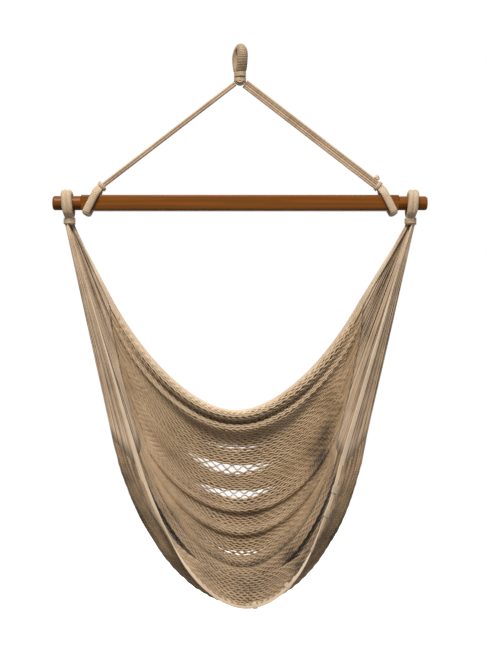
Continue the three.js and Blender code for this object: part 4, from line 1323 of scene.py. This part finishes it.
def make_stage():
    """A pale floor under the chair; a large key lamp in front and above, a little to the left, a
    weak fill low on the right and a back lamp behind on the right; and an even world that is white
    to the camera, in gloss and through glass, at a plain level on the object."""
    scene = bpy.context.scene
    scene.view_settings.view_transform = "Standard"
    world = bpy.data.worlds.new("plain studio")
    world.use_nodes = True
    scene.world = world
    tree = world.node_tree
    background = tree.nodes["Background"]
    background.inputs["Color"].default_value = linear("ffffff")
    rays = node(tree, "ShaderNodeLightPath")
    seen = node(tree, "ShaderNodeMath", {0: rays.outputs["Is Camera Ray"], 1: rays.outputs["Is Glossy Ray"]},
                operation="MAXIMUM")
    through = node(tree, "ShaderNodeMath", {0: seen.outputs[0], 1: rays.outputs["Is Transmission Ray"]},
                   operation="MAXIMUM")
    level = node(tree, "ShaderNodeMapRange", {"Value": through.outputs[0]},
                 **{"To Min": WORLD_LEVEL, "To Max": 1.0})
    tree.links.new(level.outputs["Result"], background.inputs["Strength"])
    for lamp in LAMPS:
        add_lamp(*lamp)
    mesh = bpy.data.meshes.new("floor")
    corners = [(x * FLOOR_HALF, y * FLOOR_HALF, FLOOR_Z) for x, y in ((-1, -1), (1, -1), (1, 1), (-1, 1))]
    mesh.from_pydata(corners, [], [(0, 1, 2, 3)])
    material, tree, shader = new_material("pale floor")
    set_sockets(shader, {"Roughness": 0.9, "Emission Color": linear("ffffff")})
    rays = node(tree, "ShaderNodeLightPath")
    colour = node(tree, "ShaderNodeMix", {"Factor": rays.outputs["Is Camera Ray"]}, data_type="RGBA")
    set_sockets(colour, {"A": linear("7d7a76"), "B": linear("e8e6e4")})
    tree.links.new(colour.outputs["Result"], shader.inputs["Base Color"])
    glow = node(tree, "ShaderNodeMath", {0: rays.outputs["Is Camera Ray"]}, operation="MULTIPLY")
    set_sockets(glow, {1: FLOOR_GLOW})
    tree.links.new(glow.outputs[0], shader.inputs["Emission Strength"])
    mesh.materials.append(material)
    floor = bpy.data.objects.new("floor", mesh)
    scene.collection.objects.link(floor)


def finish_for(kind):
    """The material of one of the chair's finishes, made once."""
    colours = bpy.context.scene.chair_colours
    if kind in bpy.data.materials:
        return bpy.data.materials[kind]
    if kind not in COTTONS:
        return stained_wood(colours.wood_pale, colours.wood_deep)
    family, ply_painted_shade, relief = COTTONS[kind]
    pale, deep = (getattr(colours, f"{family}_{shade}") for shade in ("pale", "deep"))
    return spun_cotton(kind, pale, deep, colours.painted_shade_colour, ply_painted_shade, relief)


class CHAIR_OT_camera(bpy.types.Operator):
    """Adds the camera at the photograph's viewpoint"""
    bl_idname = "chair.camera"
    bl_label = "Camera"

    def execute(self, context):
        make_camera()
        return {"FINISHED"}


class CHAIR_OT_legs(bpy.types.Operator):
    """Makes the cords of both suspension legs and the stopper knot"""
    bl_idname = "chair.legs"
    bl_label = "Suspension cords"

    def execute(self, context):
        sizes, straight = context.scene.chair_sizes, finish_for("straight cotton cord")
        for side in SIDE_NAMES:
            make_leg(sizes, side, straight)
        make_knot(sizes, straight)
        return {"FINISHED"}


class CHAIR_OT_hanging_eye(bpy.types.Operator):
    """Makes the whipped eye for the hook, its seizing and the cords gathered under it"""
    bl_idname = "chair.hanging_eye"
    bl_label = "Hanging eye"

    def execute(self, context):
        make_hanging_eye(context.scene.chair_sizes, finish_for("whipped cotton"))
        make_throat(context.scene.chair_sizes, finish_for("straight cotton cord"))
        return {"FINISHED"}


class CHAIR_OT_bar(bpy.types.Operator):
    """Makes the stained wooden spreader bar"""
    bl_idname = "chair.bar"
    bl_label = "Spreader bar"

    def execute(self, context):
        make_bar(finish_for("stained pine"))
        return {"FINISHED"}


class CHAIR_OT_bar_eyes(bpy.types.Operator):
    """Makes the whipped eyes round the square part of the bar"""
    bl_idname = "chair.bar_eyes"
    bl_label = "Bar eyes"

    def execute(self, context):
        for side in SIDE_NAMES:
            make_bar_eye(context.scene.chair_sizes, side, finish_for("whipped cotton"))
        return {"FINISHED"}


class CHAIR_OT_clew_eyes(bpy.types.Operator):
    """Makes the whipped eyes on the round ends of the bar"""
    bl_idname = "chair.clew_eyes"
    bl_label = "Clew eyes"

    def execute(self, context):
        for side in SIDE_NAMES:
            make_clew_eye(context.scene.chair_sizes, side, finish_for("whipped cotton"))
        return {"FINISHED"}


class CHAIR_OT_seat(bpy.types.Operator):
    """Makes the net of the seat, its edge bands and the clews that carry it"""
    bl_idname = "chair.seat"
    bl_label = "Net seat"

    def execute(self, context):
        sizes = context.scene.chair_sizes
        straight = finish_for("straight cotton cord")
        strips = make_net(sizes, finish_for("netted cotton"))
        clews = [make_clew(sizes, side, straight) for side in SIDE_NAMES]
        back = make_edge_band("back_edge_band", 0, straight)
        front = make_edge_band("front_edge_band", LAST_LINE, straight)
        wraps = make_band_wraps(finish_for("whipped cotton"))
        hems = {0: [back, *clews], len(strips) - 1: [front, wraps]}
        for index, (strip, lines) in enumerate(strips):
            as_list(hems.get(index, []))
        return {"FINISHED"}


class CHAIR_OT_stage(bpy.types.Operator):
    """Adds the floor, the lamps and the pale background"""
    bl_idname = "chair.stage"
    bl_label = "Stage"

    def execute(self, context):
        make_stage()
        return {"FINISHED"}


OPERATORS = (CHAIR_OT_camera, CHAIR_OT_legs, CHAIR_OT_hanging_eye, CHAIR_OT_bar, CHAIR_OT_bar_eyes,
             CHAIR_OT_clew_eyes, CHAIR_OT_seat, CHAIR_OT_stage)


class CHAIR_PT_panel(bpy.types.Panel):
    """Lists the chair's sizes, colours and pieces"""
    bl_idname = "CHAIR_PT_panel"
    bl_label = "Hammock chair"
    bl_space_type = "VIEW_3D"
    bl_region_type = "UI"
    bl_category = "Hammock"

    def draw(self, context):
        for group in (context.scene.chair_sizes, context.scene.chair_colours):
            for name in group.__annotations__:
                self.layout.prop(group, name)
        for operator in OPERATORS:
            self.layout.operator(operator.bl_idname)


CLASSES = (ChairSizes, ChairColours, *OPERATORS, CHAIR_PT_panel)


def register():
    for one in CLASSES:
        bpy.utils.register_class(one)
    bpy.types.Scene.chair_sizes = bpy.props.PointerProperty(type=ChairSizes)
    bpy.types.Scene.chair_colours = bpy.props.PointerProperty(type=ChairColours)


def unregister():
    del bpy.types.Scene.chair_colours
    del bpy.types.Scene.chair_sizes
    for one in reversed(CLASSES):
        bpy.utils.unregister_class(one)


def main():
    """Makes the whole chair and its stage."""
    register()
    bpy.ops.chair.camera()
    bpy.ops.chair.legs()
    bpy.ops.chair.hanging_eye()
    bpy.ops.chair.bar()
    bpy.ops.chair.bar_eyes()
    bpy.ops.chair.clew_eyes()
    bpy.ops.chair.seat()
    bpy.ops.chair.stage()


if __name__ == "__main__":
    main()
